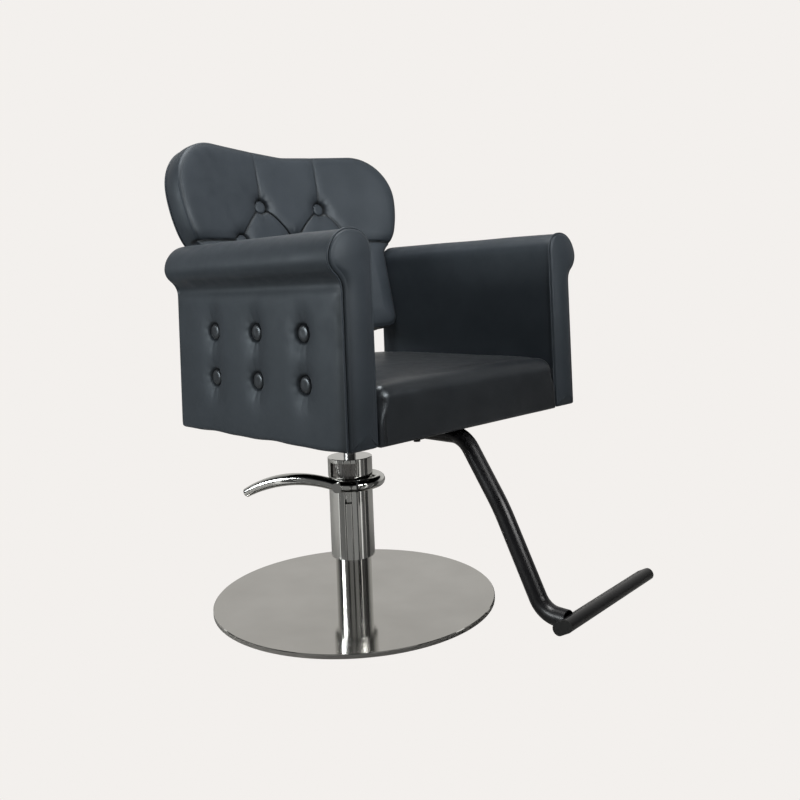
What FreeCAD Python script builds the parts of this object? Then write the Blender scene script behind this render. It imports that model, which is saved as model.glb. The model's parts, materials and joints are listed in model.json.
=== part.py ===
"""Hydraulic styling chair: pump base, tufted arm chair and bent footrest.

Frame: millimetres, +Z up, the sitter faces -Y and the sitter's right arm is at -X.
The origin is on the floor, on the axis of the pump column.
"""
import FreeCAD
import Part
import Sketcher
import math
import os

from FreeCAD import Placement, Rotation, Vector

# ---------------------------------------------------------------- driving dimensions

# alias, millimetres, meaning and, where there is one, the size that it is measured from
DIMENSIONS = (
    ("base_radius", 295, "outer radius of the base disc"),
    ("base_edge_round", 1.2, "rounding of the cover's top edge"),
    ("base_plate_thick", 6.4, "steel weight plate"),
    ("cover_sheet", 1.2, "stainless cover sheet"),
    ("ring_thick", 1.5, "rubber floor ring, thickness"),
    ("ring_width", 22, "rubber floor ring, width"),
    ("column_radius", 38, "fixed column tube, outer radius"),
    ("column_wall", 3, "fixed column tube, wall"),
    ("pedal_height", 250, "height of the pedal's shaft"),
    ("head_bottom", -26, "pump head casting, lower face", "pedal_height"),
    ("column_top", -4, "height of the fixed column's top", "head_bottom"),
    ("foot_thick", 10, "disc welded inside the column's foot"),
    ("foot_bolt_radius", 4, "bolts through the base plate, radius"),
    ("foot_bolt_circle", -13, "foot bolt circle, radius", "column_radius"),
    ("rod_radius", 14, "ram rod"),
    ("rod_thread_radius", 6, "ram rod's top thread"),
    ("piston_bottom", -27, "height of the piston's underside", "column_top"),
    ("piston_thick", 16, "piston thickness"),
    ("cylinder_radius", -8, "pressure cylinder, outer radius", "column_radius"),
    ("cylinder_inner", -5.7, "pressure cylinder, inner radius", "cylinder_radius"),
    ("piston_radius", -0.3, "piston radius", "cylinder_inner"),
    ("cylinder_bottom", 40, "pressure cylinder, lower end"),
    ("gland_thick", 18, "gland that closes the pressure cylinder"),
    ("guide_length", 24, "plain guide bushes, length"),
    ("sleeve_radius", 8, "pump sleeve, outer radius", "column_radius"),
    ("sleeve_wall", 2.5, "pump sleeve, wall"),
    ("sleeve_bottom", 94, "pump sleeve, lower end"),
    ("sleeve_top", 12, "pump sleeve, upper end", "pedal_height"),
    ("head_top", 36, "pump head casting, upper face", "sleeve_top"),
    ("cap_thick", 3, "pump cap, top sheet"),
    ("cap_wall", 1.2, "how far the cap stands proud of the sleeve"),
    ("cap_window", 58, "width of the window in the cap's side"),
    ("spindle_radius", 13, "swivel spindle"),
    ("spindle_bush_wall", 4, "bush round the spindle"),
    ("washer_thick", 2.5, "thrust washer under the spindle"),
    ("pedal_heading", 26, "turn of the pedal's shaft from the X axis, degrees"),
    ("pedal_ring_radius", 16, "centre line of the ring round the column", "sleeve_radius"),
    ("pedal_bar_radius", 11.5, "round bar of the ring"),
    ("pedal_reach", 218, "from the shaft to the tip of the pedal"),
    ("pedal_drop", 23, "how far the tip hangs below the shaft"),
    ("pedal_rise", 12, "height of the arch above the shaft"),
    ("pedal_grip_radius", 12.5, "radius of the bar at the top of its arch"),
    ("pedal_tip_radius", 9.5, "radius of the bar at its tip"),
    ("boss_radius", 10.5, "bosses on the ends of the pedal's shaft"),
    ("boss_end", 14, "outer face of the front boss", "pedal_ring_radius"),
    ("shaft_radius", 8, "pedal's shaft"),
    ("finger_radius", 4, "crank finger on the shaft"),
    ("finger_offset", 25, "from the shaft to the plunger"),
    ("finger_lift", 10, "angle of the finger at rest, degrees"),
    ("plunger_radius", 6, "pump plunger"),
    ("plunger_length", 16, "pump plunger, length"),
    ("running_gap", 0.05, "radial running clearance"),
    ("bolt_gap", 0.3, "radial clearance of a bolt in its hole"),
    ("bolt_radius", 4, "furniture bolts"),
    ("bolt_head_radius", 6.5, "furniture bolt heads"),
    ("bolt_head_thick", 5, "furniture bolt heads, height"),
    ("seat_bottom", 397, "height of the seat's underside"),
    ("seat_top", 102, "height of the seat's top", "seat_bottom"),
    ("seat_half_width", 248.5, "half of the seat's width"),
    ("seat_front", -358, "front face of the seat and of the arms"),
    ("seat_rear", 145, "rear face of the seat"),
    ("seat_skirt", 10.5, "padding round the seat frame"),
    ("seat_edge_round", 16, "rounding of the seat's top edges"),
    ("rail_height", 50, "wooden seat frame, height"),
    ("rail_thick", 22, "wooden seat frame, thickness"),
    ("board_thick", 12, "plywood seat board"),
    ("cloth_thick", 1, "cloth under the seat"),
    ("pad_gap", 0.2, "clearance of a board in its padding"),
    ("mount_half_length", 100, "mount plate, half of its size along Y"),
    ("mount_half_width", 80, "mount plate, half of its size along X"),
    ("mount_thick", 6, "mount plate"),
    ("hub_radius", 26, "hub under the mount plate"),
    ("hub_height", 15, "hub under the mount plate"),
    ("mount_bolt_x", 62, "mount bolts, distance from the middle"),
    ("mount_bolt_y", 82, "mount bolts, distance from the middle"),
    ("cross_rail_width", 56, "cross rails in the seat frame"),
    ("arm_inner", 2.5, "inner face of an arm", "seat_half_width"),
    ("arm_outer", 64, "outer face of an arm", "arm_inner"),
    ("arm_rear", 2, "rear end of an arm", "seat_rear"),
    ("arm_roll_out", 28, "outermost point of the rolled top", "arm_outer"),
    ("arm_neck", 261, "height where the roll meets the side", "seat_bottom"),
    ("arm_roll_height", 50, "height of the roll's widest point", "arm_neck"),
    ("arm_top", 45, "top of the arm", "arm_roll_height"),
    ("arm_crown", 36, "where the inner curve reaches the top", "arm_inner"),
    ("arm_panel_thick", 6, "upholstered panel on the arm's front"),
    ("arm_frame_thick", 18, "wooden panel inside the arm"),
    ("arm_frame_inner", 25, "inner face of the arm's wooden panel", "arm_inner"),
    ("arm_frame_top", 32, "top of the arm's wooden panel", "arm_neck"),
    ("arm_button_radius", 14, "covered buttons on the arms"),
    ("arm_button_thick", 8, "covered buttons, thickness"),
    ("arm_button_sink", 6, "how deep the buttons sit"),
    ("arm_button_front", 112, "front column of arm buttons", "seat_front"),
    ("arm_button_pitch", 132, "between the columns of arm buttons"),
    ("arm_button_low", 103, "lower row of arm buttons", "seat_bottom"),
    ("arm_button_high", 86, "upper row of arm buttons", "arm_button_low"),
    ("arm_bolt_height", 35, "bolts that hold the arms", "seat_bottom"),
    ("arm_bolt_front", 108, "first bolt of an arm", "seat_front"),
    ("arm_bolt_pitch", 150, "between the bolts of an arm"),
    ("nut_radius", 5.4, "tee nut barrel"),
    ("nut_flange_radius", 11, "tee nut flange"),
    ("nut_flange_thick", 2, "tee nut flange, thickness"),
    ("back_lean", 11.86, "lean of the back from upright, degrees"),
    ("back_pivot_y", -14, "front edge of the back at the reference height", "seat_rear"),
    ("back_bottom", 165, "lower edge of the back", "seat_bottom"),
    ("back_pivot_z", 298, "reference height of the back", "back_bottom"),
    ("back_low_half", 0, "half width of the back between the arms", "seat_half_width"),
    ("back_waist_half", 23.5, "half width of the back above the arms", "back_low_half"),
    ("back_half_width", 29, "widest half width of the back", "back_waist_half"),
    ("back_hollow", 41, "depth of the back's hollow across its width"),
    ("back_thick", 56, "thickness of the back"),
    ("back_straight_top", 180, "where the sides leave the arms", "back_bottom"),
    ("back_waist", 22, "height of the waist", "back_straight_top"),
    ("back_widest", 108, "height of the widest point", "back_waist"),
    ("back_lobe_x", -113, "middle of each lobe", "back_half_width"),
    ("back_lobe_top", 111, "top of each lobe", "back_widest"),
    ("back_valley_top", -11, "top edge between the lobes", "back_lobe_top"),
    ("back_corner_round", 24, "lower corners of the back"),
    ("back_board_thick", 10, "curved plywood of the back"),
    ("back_board_inset", 0.95, "plywood outline as a share of the pad's"),
    ("rear_cover_thick", 4, "padded rear cover"),
    ("back_button_radius", 15, "covered buttons on the back"),
    ("back_button_thick", 9, "covered buttons on the back, thickness"),
    ("back_button_sink", 12, "how deep the back's buttons sit"),
    ("back_upper_x", 83, "upper row of back buttons"),
    ("back_upper_z", -20, "upper row of back buttons, height", "back_widest"),
    ("back_lower_x", 151, "lower row, outer buttons"),
    ("back_lower_z", -80, "lower row of back buttons, height", "back_upper_z"),
    ("bracket_x", 130, "back brackets, distance from the middle"),
    ("bracket_width", 40, "back brackets, width"),
    ("bracket_thick", 6, "back brackets, thickness"),
    ("bracket_foot", 7, "lower end of the back brackets", "seat_bottom"),
    ("bracket_bend", 108, "first bend of the back brackets", "seat_bottom"),
    ("bracket_upper", 128, "upper end of the brackets along the back", "back_bottom"),
    ("stem_x", -12, "footrest stem, distance from the middle"),
    ("stem_radius", 16, "footrest stem, outer radius"),
    ("stem_wall", 2, "footrest stem, wall"),
    ("clamp_y", 143, "footrest clamps, middle", "seat_front"),
    ("stem_start", 65, "rear end of the footrest stem", "clamp_y"),
    ("stem_elbow_y", 26, "upper elbow of the stem", "seat_front"),
    ("stem_knee_y", -80, "gentle bend of the stem", "stem_elbow_y"),
    ("bar_height", 95, "foot bar, height of its middle"),
    ("stem_knee_z", 165, "gentle bend of the stem, height", "bar_height"),
    ("stem_ankle_y", -83, "lower bend of the stem", "stem_knee_y"),
    ("stem_elbow_round", 50, "upper elbow, radius"),
    ("stem_knee_round", 350, "gentle bend, radius"),
    ("stem_ankle_round", 42, "lower bend, radius"),
    ("bar_y", -59, "foot bar, middle", "stem_ankle_y"),
    ("bar_depth", 38, "foot bar, front to rear"),
    ("bar_thick", 21, "foot bar, thickness"),
    ("bar_right_end", -47, "foot bar, right end"),
    ("bar_left_end", 256, "foot bar, left end"),
    ("bar_tilt", 28, "foot bar, how far its front edge is tipped up, degrees"),
    ("bar_heading", 3.5, "foot bar, turn about the upright, degrees"),
    ("pedal_collar_width", 4, "black ring on the pedal's ring bar, width"),
    ("bar_cap_thick", 3, "end caps of the foot bar"),
    ("clamp_spread", 21, "footrest clamps, distance from their middle"),
    ("clamp_half_width", 34, "footrest clamps, half width"),
    ("clamp_length", 26, "footrest clamps, length"),
    ("clamp_bolt_offset", 25, "clamp bolts, distance from the stem"),
)

FOOT_BOLTS = 4
ARM_BUTTON_COLUMNS = 3
ARM_BOLTS = 3
SPRING_TURNS = 4


class Size:
    """A number in millimetres together with the sheet formula that gives it."""

    def __init__(self, value, text):
        self.value = float(value)
        self.text = text

    def __add__(self, other):
        other = sized(other)
        return Size(self.value + other.value, f"({self.text} + {other.text})")

    def __sub__(self, other):
        other = sized(other)
        return Size(self.value - other.value, f"({self.text} - {other.text})")

    def __mul__(self, other):
        other = sized(other)
        return Size(self.value * other.value, f"({self.text} * {other.text})")

    def __truediv__(self, other):
        other = sized(other)
        return Size(self.value / other.value, f"({self.text} / {other.text})")

    def __neg__(self):
        return Size(-self.value, f"(0 - {self.text})")

    __radd__ = __add__
    __rmul__ = __mul__

    def __rsub__(self, other):
        return sized(other) - self


def sized(number):
    return number if isinstance(number, Size) else Size(number, f"{number:g}")


doc = FreeCAD.newDocument("StylingChair")
sheet = doc.addObject("Spreadsheet::Sheet", "Dims")
for row, (alias, number, note, *origin) in enumerate(DIMENSIONS, start=1):
    sheet.set(f"A{row}", note)
    sheet.set(f"B{row}", f"={origin[0]} + {number}" if origin else str(number))
    sheet.setAlias(f"B{row}", alias)
doc.recompute()


class Dims:
    """The sheet's cells as named sizes."""


dims = Dims()
for alias, number, note, *origin in DIMENSIONS:
    start = getattr(dims, origin[0]).value if origin else 0
    setattr(dims, alias, Size(start + number, f"Dims.{alias}"))

# heights and radii that follow from the driving dimensions
plate_top = dims.ring_thick + dims.base_plate_thick
base_top = plate_top + dims.cover_sheet
column_inner = dims.column_radius - dims.column_wall
sleeve_inner = dims.sleeve_radius - dims.sleeve_wall
foot_top = plate_top + dims.foot_thick
piston_top = dims.piston_bottom + dims.piston_thick
cap_radius = dims.sleeve_radius + dims.cap_wall
head_radius = sleeve_inner - dims.running_gap
spindle_bush_radius = dims.spindle_radius + dims.spindle_bush_wall
spindle_foot = dims.sleeve_top + dims.washer_thick
mount_bottom = dims.seat_bottom - dims.mount_thick
rail_bottom = dims.seat_bottom + dims.cloth_thick
rail_top = rail_bottom + dims.rail_height
board_top = rail_top + dims.board_thick
frame_half = dims.seat_half_width - dims.seat_skirt
frame_front = dims.seat_front + dims.seat_skirt
frame_rear = dims.seat_rear - dims.seat_skirt
cross_rail_top = rail_bottom + dims.rail_thick
stem_height = dims.seat_bottom - dims.stem_radius - 2
arm_body_front = dims.seat_front + dims.arm_panel_thick

nodes = {}

# ---------------------------------------------------------------- helpers


def bind(item, **sizes):
    """Tie properties to the sheet; plain numbers become constants."""
    for name, size in sizes.items():
        item.setExpression(name.replace("__", "."), sized(size).text)
    return item


def node(label, item):
    """Keep an object as a sub-part under its own label."""
    item.Label = label
    nodes[label] = item
    return item


def origin_plane(body, role):
    return next(part for part in body.Origin.OriginFeatures if part.Role == role)


def outline(body, role, points):
    """A closed sketch of straight edges whose corners are tied to the sheet."""
    sketch = body.newObject("Sketcher::SketchObject", "outline")
    sketch.AttachmentSupport = [(origin_plane(body, role), "")]
    sketch.MapMode = "FlatFace"
    corners = [(sized(across), sized(up)) for across, up in points]
    places = [Vector(across.value, up.value, 0) for across, up in corners]
    count = len(places)
    for index, place in enumerate(places):
        sketch.addGeometry(Part.LineSegment(place, places[(index + 1) % count]), False)
    for index in range(count):
        sketch.addConstraint(Sketcher.Constraint("Coincident", index, 2, (index + 1) % count, 1))
    for index, corner in enumerate(corners):
        for kind, size in zip(("DistanceX", "DistanceY"), corner):
            rule = sketch.addConstraint(Sketcher.Constraint(kind, -1, 1, index, 1, size.value))
            sketch.setExpression(f"Constraints[{rule}]", size.text)
    return sketch


def turned(label, *points):
    """A piece turned about the column's axis from (radius, height) corners."""
    body = doc.addObject("PartDesign::Body", label + "_body")
    profile = outline(body, "XZ_Plane", points)
    turn = body.newObject("PartDesign::Revolution", "turn")
    turn.Profile = profile
    turn.ReferenceAxis = (profile, ["V_Axis"])
    turn.Angle = 360
    return node(label, body) if label else body


def tube(label, inner, outer, bottom, top):
    return turned(label, (inner, bottom), (outer, bottom), (outer, top), (inner, top))


def box(low, high):
    """A block between two corners."""
    low = [sized(value) for value in low]
    high = [sized(value) for value in high]
    block = doc.addObject("Part::Box", "block")
    bind(block, Length=high[0] - low[0], Width=high[1] - low[1], Height=high[2] - low[2])
    return place(block, low)


def place(item, corner, turn=None):
    if turn is not None:
        item.Placement = Placement(Vector(0, 0, 0), turn)
    for letter, value in zip("xyz", corner):
        item.setExpression(f"Placement.Base.{letter}", sized(value).text)
    return item


ALONG = {
    "+x": Rotation(Vector(0, 1, 0), 90),
    "-x": Rotation(Vector(0, 1, 0), -90),
    "+y": Rotation(Vector(1, 0, 0), -90),
    "-y": Rotation(Vector(1, 0, 0), 90),
    "+z": Rotation(),
}


def rod(radius, length, start, along="+z"):
    """A cylinder from a start point along one axis."""
    cylinder = doc.addObject("Part::Cylinder", "rod")
    bind(cylinder, Radius=radius, Height=length)
    return place(cylinder, start, ALONG[along])


def fused(items):
    if len(items) == 1:
        return items[0]
    joined = doc.addObject("Part::MultiFuse", "joined")
    joined.Shapes = items
    return joined


def grouped(label, items):
    """Separate solids that share one node."""
    group = doc.addObject("Part::Compound", "group")
    group.Links = items
    return node(label, group)


def less(base, tools):
    """A piece with each tool cut away in turn."""
    for tool in tools:
        cut = doc.addObject("Part::Cut", "cut")
        cut.Base = base
        cut.Tool = tool
        base = cut
    return base


def overlap_of(first, second):
    result = doc.addObject("Part::Common", "common")
    result.Base = first
    result.Tool = second
    return result


def feature(shape):
    item = doc.addObject("Part::Feature", "shape")
    item.Shape = shape
    return item


def mirrored(label, source):
    item = doc.addObject("Part::Mirroring", "mirror")
    item.Source = source
    item.Normal = Vector(1, 0, 0)
    return node(label, item)


def softened(base, radius, chosen):
    """Round the edges of a block that the test picks by their middle point."""
    doc.recompute()
    rounded = doc.addObject("Part::Fillet", "soft")
    rounded.Base = base
    edges = enumerate(base.Shape.Edges, start=1)
    rounded.Edges = [(index, radius, radius) for index, edge in edges
                     if chosen(edge.CenterOfMass)]
    return rounded


def turned_with_pedal(item):
    """Turn a piece of the pump to the heading of the pedal's shaft."""
    item.Placement = Placement(Vector(0, 0, 0), Rotation(Vector(0, 0, 1), 0.001))
    item.setExpression("Placement.Rotation.Angle", dims.pedal_heading.text)
    return item


# ---------------------------------------------------------------- base


def foot_bolt_places():
    for index in range(FOOT_BOLTS):
        angle = math.radians(45 + 360 / FOOT_BOLTS * index)
        yield (dims.foot_bolt_circle * round(math.cos(angle), 6),
               dims.foot_bolt_circle * round(math.sin(angle), 6))


def make_base():
    """Weighted disc, fixed column and the ram that the chair rides on."""
    ring_outer = dims.base_radius - 5
    tube("floor_ring", ring_outer - dims.ring_width, ring_outer, 0, dims.ring_thick)
    edge = dims.base_edge_round
    turned("base_cover",
           (dims.column_radius, plate_top),
           (dims.base_radius - dims.cover_sheet, plate_top),
           (dims.base_radius - dims.cover_sheet, dims.ring_thick / 2),
           (dims.base_radius, dims.ring_thick / 2),
           (dims.base_radius, base_top - edge),
           (dims.base_radius - edge, base_top),
           (dims.column_radius, base_top))
    head_depth = dims.base_plate_thick * 0.6
    plate = rod(dims.base_radius - dims.cover_sheet, dims.base_plate_thick,
                (0, 0, dims.ring_thick))
    foot = tube("", dims.rod_thread_radius + 4, column_inner, plate_top, foot_top)
    wells = []
    bores = []
    bolts = []
    for x, y in foot_bolt_places():
        gap = dims.bolt_gap
        wells.append(rod(dims.bolt_head_radius + gap, head_depth, (x, y, dims.ring_thick)))
        wells.append(rod(dims.foot_bolt_radius + gap, dims.base_plate_thick,
                         (x, y, dims.ring_thick)))
        bores.append(rod(dims.foot_bolt_radius, dims.foot_thick, (x, y, plate_top)))
        head = rod(dims.bolt_head_radius, head_depth - gap, (x, y, dims.ring_thick + gap))
        shank = rod(dims.foot_bolt_radius, foot_top - dims.ring_thick - gap,
                    (x, y, dims.ring_thick + gap))
        bolts.append(fused([head, shank]))
    node("base_plate", less(plate, wells))
    node("column_foot", less(foot, bores))
    grouped("column_bolts", bolts)
    tube("column_tube", column_inner, dims.column_radius, plate_top, dims.column_top)
    tube("column_guide", dims.cylinder_radius + dims.running_gap, column_inner,
         dims.column_top - dims.guide_length, dims.column_top)
    neck = dims.rod_thread_radius
    nut_top = piston_top + 9
    turned("ram_rod", (0, plate_top), (neck + 4, plate_top), (neck + 4, foot_top),
           (dims.rod_radius, foot_top), (dims.rod_radius, dims.piston_bottom),
           (neck, dims.piston_bottom), (neck, nut_top), (0, nut_top))
    groove = dims.piston_thick / 4
    seal_inner = dims.piston_radius - 3
    turned("ram_piston", (neck, dims.piston_bottom), (dims.piston_radius, dims.piston_bottom),
           (dims.piston_radius, dims.piston_bottom + groove),
           (seal_inner, dims.piston_bottom + groove),
           (seal_inner, piston_top - groove), (dims.piston_radius, piston_top - groove),
           (dims.piston_radius, piston_top), (neck, piston_top))
    tube("piston_seal", seal_inner, dims.cylinder_inner - dims.running_gap,
         dims.piston_bottom + groove, piston_top - groove)
    hexagon = doc.addObject("Part::Prism", "hexagon")
    hexagon.Polygon = 6
    bind(hexagon, Circumradius=neck * 2, Height=nut_top - piston_top)
    place(hexagon, (0, 0, piston_top))
    node("ram_nut", less(hexagon, [rod(neck, nut_top - piston_top, (0, 0, piston_top))]))


# ---------------------------------------------------------------- pump


def make_pump():
    """Everything that rises with the seat but doesn't turn with it."""
    shaft_z = dims.pedal_height
    tube("pressure_cylinder", dims.cylinder_inner, dims.cylinder_radius,
         dims.cylinder_bottom, dims.head_bottom)
    tube("cylinder_gland", dims.rod_radius + dims.running_gap, dims.cylinder_inner,
         dims.cylinder_bottom, dims.cylinder_bottom + dims.gland_thick)
    tube("sleeve_guide", dims.column_radius + dims.running_gap, sleeve_inner,
         dims.sleeve_bottom, dims.sleeve_bottom + dims.guide_length)
    reach = cap_radius * 2
    sleeve = tube("", sleeve_inner, dims.sleeve_radius, dims.sleeve_bottom, dims.sleeve_top)
    cross_hole = rod(dims.shaft_radius + 1, reach, (-cap_radius, 0, shaft_z), "+x")
    slot_top = shaft_z - 30
    slot_middle = -11
    slot = box((-cap_radius, slot_middle - 7, slot_top - 10),
               (-column_inner, slot_middle + 7, slot_top))
    screw_radius = 2.5
    screw_z = slot_top + 7
    screw_start = -dims.sleeve_radius - 0.4
    screw_hole = rod(screw_radius, dims.sleeve_wall * 4, (screw_start, slot_middle, screw_z), "+x")
    node("pump_sleeve", turned_with_pedal(less(sleeve, [cross_hole, slot, screw_hole])))
    screw = rod(screw_radius, dims.sleeve_wall + 0.6, (screw_start, slot_middle, screw_z), "+x")
    clear = rod(sleeve_inner, dims.sleeve_top, (0, 0, 0))
    node("sleeve_screw", turned_with_pedal(less(screw, [clear])))
    make_pump_head(shaft_z)
    tube("spindle_bush", dims.spindle_radius + dims.running_gap, spindle_bush_radius,
         spindle_foot, dims.head_top)
    tube("thrust_washer", 4, spindle_bush_radius, dims.sleeve_top, spindle_foot)
    cap = turned("", (head_radius + 0.2, dims.sleeve_top), (cap_radius, dims.sleeve_top),
                 (cap_radius, dims.head_top + dims.cap_thick - 1),
                 (cap_radius - 1, dims.head_top + dims.cap_thick),
                 (dims.spindle_radius + 0.5, dims.head_top + dims.cap_thick),
                 (dims.spindle_radius + 0.5, dims.head_top),
                 (head_radius + 0.2, dims.head_top))
    half = dims.cap_window / 2
    window = box((-cap_radius - 1, -half, dims.sleeve_top - 1),
                 (-half, half, dims.head_top - 5))
    node("pump_cap", turned_with_pedal(less(cap, [window])))


def make_pump_head(shaft_z):
    """Casting that carries the pedal's shaft, the plunger and the spindle."""
    head = tube("", 0, head_radius, dims.head_bottom, dims.head_top)
    bush_length = 12
    bush_radius = dims.shaft_radius + 3
    reach = head_radius * 2
    crank_half = dims.finger_radius + 4
    spring_radius = dims.shaft_radius + 4
    plunger_top = shaft_z - 1.1
    plunger_well = plunger_top - dims.plunger_length - 7
    tools = [
        rod(spindle_bush_radius, dims.head_top - dims.sleeve_top, (0, 0, dims.sleeve_top)),
        rod(bush_radius, reach, (-head_radius, 0, shaft_z), "+x"),
        box((-crank_half, -spring_radius, shaft_z - 8),
            (crank_half, dims.finger_offset + 8, shaft_z + 11)),
        rod(spring_radius, 16, (crank_half, 0, shaft_z), "+x"),
        rod(dims.plunger_radius + dims.running_gap, 20,
            (0, dims.finger_offset, plunger_well)),
    ]
    node("pump_head", turned_with_pedal(less(head, tools)))
    bushes = []
    for start, along in ((-head_radius + 2.5, "+x"), (head_radius - 2.5, "-x")):
        blank = rod(bush_radius, bush_length, (start, 0, shaft_z), along)
        bore = rod(dims.shaft_radius + dims.running_gap, bush_length, (start, 0, shaft_z), along)
        bushes.append(less(blank, [bore]))
    turned_with_pedal(grouped("shaft_bushes", bushes))
    stroke = rod(dims.plunger_radius, dims.plunger_length,
                 (0, dims.finger_offset, plunger_top - dims.plunger_length))
    turned_with_pedal(grouped("plunger", [stroke]))
    make_return_spring(shaft_z, crank_half)


def make_return_spring(shaft_z, start):
    """Coil on the pedal's shaft that lifts the pedal again, drawn with flat facets."""
    wire = 1.1
    pitch = 3
    coil = (dims.shaft_radius + 2).value
    steps = 20
    sides = 12

    def ring(step):
        turn = 2 * math.pi * step / steps
        outward = Vector(math.cos(turn), math.sin(turn), 0)
        centre = outward * coil + Vector(0, 0, pitch * step / steps)
        tangent = Vector(-math.sin(turn) * coil, math.cos(turn) * coil, pitch / (2 * math.pi))
        across = tangent.normalize().cross(outward)
        angles = [2 * math.pi * side / sides for side in range(sides + 1)]
        return Part.makePolygon([centre + outward * wire * math.cos(angle)
                                 + across * wire * math.sin(angle) for angle in angles])

    spring = Part.makeLoft([ring(step) for step in range(steps * SPRING_TURNS + 1)], True, True)
    item = node("return_spring", feature(spring))
    heading = Rotation(Vector(0, 0, 1), dims.pedal_heading.value)
    along = heading.multiply(Rotation(Vector(0, 1, 0), 90))
    offset = heading.multVec(Vector(start.value + wire + 0.5, 0, shaft_z.value))
    item.Placement = Placement(offset, along)


# ---------------------------------------------------------------- pedal


def ring_bar():
    """Half ring of round bar, from boss to boss round the far side of the handle."""
    ring = doc.addObject("Part::Torus", "ring")
    bind(ring, Radius1=dims.pedal_ring_radius, Radius2=dims.pedal_bar_radius)
    ring.setExpression("Angle3", "180")
    return place(ring, (0, 0, dims.pedal_height), Rotation(Vector(0, 0, 1), 180))


def handle_bar():
    """Arched bar that swells from the boss and tapers to its tip."""
    radius = dims.pedal_ring_radius.value
    height = dims.pedal_height.value
    reach = dims.pedal_reach.value
    middle = Vector(-radius, reach * 0.42, height + dims.pedal_rise.value)
    tip = Vector(-radius, reach, height - dims.pedal_drop.value)
    arch = Part.Arc(Vector(-radius, 0, height), middle, tip).toShape()
    start, end = arch.ParameterRange
    stations = ((0, dims.pedal_bar_radius), (0.25, dims.pedal_bar_radius + 0.5),
                (0.5, dims.pedal_grip_radius), (0.78, dims.pedal_grip_radius - 1),
                (1, dims.pedal_tip_radius))
    rings = []
    for share, size in stations:
        at = start + (end - start) * share
        rings.append(Part.Wire(Part.makeCircle(size.value, arch.valueAt(at), arch.tangentAt(at))))
    bar = Part.makeLoft(rings, True, False)
    edges = [edge for edge in bar.Edges if edge.CenterOfMass.distanceToPoint(tip) < 2]
    return feature(bar.makeFillet(2.5, edges))


def make_pedal():
    """Foot lever: handle, ring round the column and the shaft that works the plunger."""
    shaft_z = dims.pedal_height
    blind = dims.pedal_ring_radius + 4
    inner = dims.sleeve_radius + 2.2
    front_boss = rod(dims.boss_radius, dims.boss_end - inner, (-inner, 0, shaft_z), "-x")
    rear_boss = rod(dims.boss_radius, dims.boss_end - 2 - inner, (inner, 0, shaft_z), "+x")
    lever = fused([ring_bar(), handle_bar(), front_boss, rear_boss])
    socket = rod(dims.shaft_radius, blind * 2, (-blind, 0, shaft_z), "+x")
    node("pedal_lever", turned_with_pedal(less(lever, [socket])))
    shaft = rod(dims.shaft_radius, blind * 2, (-blind, 0, shaft_z), "+x")
    finger = doc.addObject("Part::Cylinder", "finger")
    bind(finger, Radius=dims.finger_radius, Height=dims.finger_offset + 4)
    lift = Rotation(Vector(1, 0, 0), -90 + dims.finger_lift.value)
    place(finger, (0, 0, shaft_z), lift)
    node("pedal_shaft", turned_with_pedal(fused([shaft, finger])))
    make_pedal_collar(shaft_z)


def make_pedal_collar(shaft_z):
    """Thin black ring where the two halves of the bar meet."""
    swing = math.radians(213)
    radius = dims.pedal_ring_radius.value
    centre = Vector(radius * math.cos(swing), radius * math.sin(swing), shaft_z.value)
    tangent = Vector(-math.sin(swing), math.cos(swing), 0)
    bar = dims.pedal_bar_radius.value
    width = dims.pedal_collar_width.value
    start = centre - tangent * (width / 2)
    outer = Part.makeCylinder(bar + 0.9, width, start, tangent)
    ring = outer.cut(Part.makeCylinder(bar + 0.1, width, start, tangent))
    item = node("pedal_collar", feature(ring))
    item.Placement = Placement(Vector(0, 0, 0),
                               Rotation(Vector(0, 0, 1), dims.pedal_heading.value))


# ---------------------------------------------------------------- seat


def cross_rails():
    """(low y, high y) of the boards that the mount plate and the clamps bolt to."""
    half = dims.cross_rail_width / 2
    for middle in (dims.mount_bolt_y, -dims.mount_bolt_y, dims.clamp_y):
        yield middle - half, middle + half


def mount_bolt_places():
    for side in (-1, 1):
        for end in (-1, 1):
            yield dims.mount_bolt_x * side, dims.mount_bolt_y * end


def clamp_bolt_places():
    for end in (-1, 1):
        for side in (-1, 1):
            yield (dims.stem_x + dims.clamp_bolt_offset * side,
                   dims.clamp_y + dims.clamp_spread * end)


def upright_bolt(x, y, seat, top):
    """Bolt with its head under a face at height seat."""
    head = rod(dims.bolt_head_radius, dims.bolt_head_thick, (x, y, seat - dims.bolt_head_thick))
    shank = rod(dims.bolt_radius, top - seat, (x, y, seat))
    return fused([head, shank])


def make_mount():
    """Spindle and the plate that carries the seat."""
    rod_top = dims.seat_bottom - 2
    node("swivel_spindle", rod(dims.spindle_radius, rod_top - spindle_foot,
                               (0, 0, spindle_foot)))
    plate = box((-dims.mount_half_width, -dims.mount_half_length, mount_bottom),
                (dims.mount_half_width, dims.mount_half_length, dims.seat_bottom))
    hub = rod(dims.hub_radius, dims.hub_height, (0, 0, mount_bottom - dims.hub_height))
    holes = [rod(dims.bolt_radius + dims.bolt_gap, dims.mount_thick, (x, y, mount_bottom))
             for x, y in mount_bolt_places()]
    bore = rod(dims.spindle_radius, rod_top - mount_bottom + dims.hub_height,
               (0, 0, mount_bottom - dims.hub_height))
    node("mount_plate", less(fused([plate, hub]), holes + [bore]))
    bolt_top = cross_rail_top - 3
    grouped("mount_bolts", [upright_bolt(x, y, mount_bottom, bolt_top)
                            for x, y in mount_bolt_places()])


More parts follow.
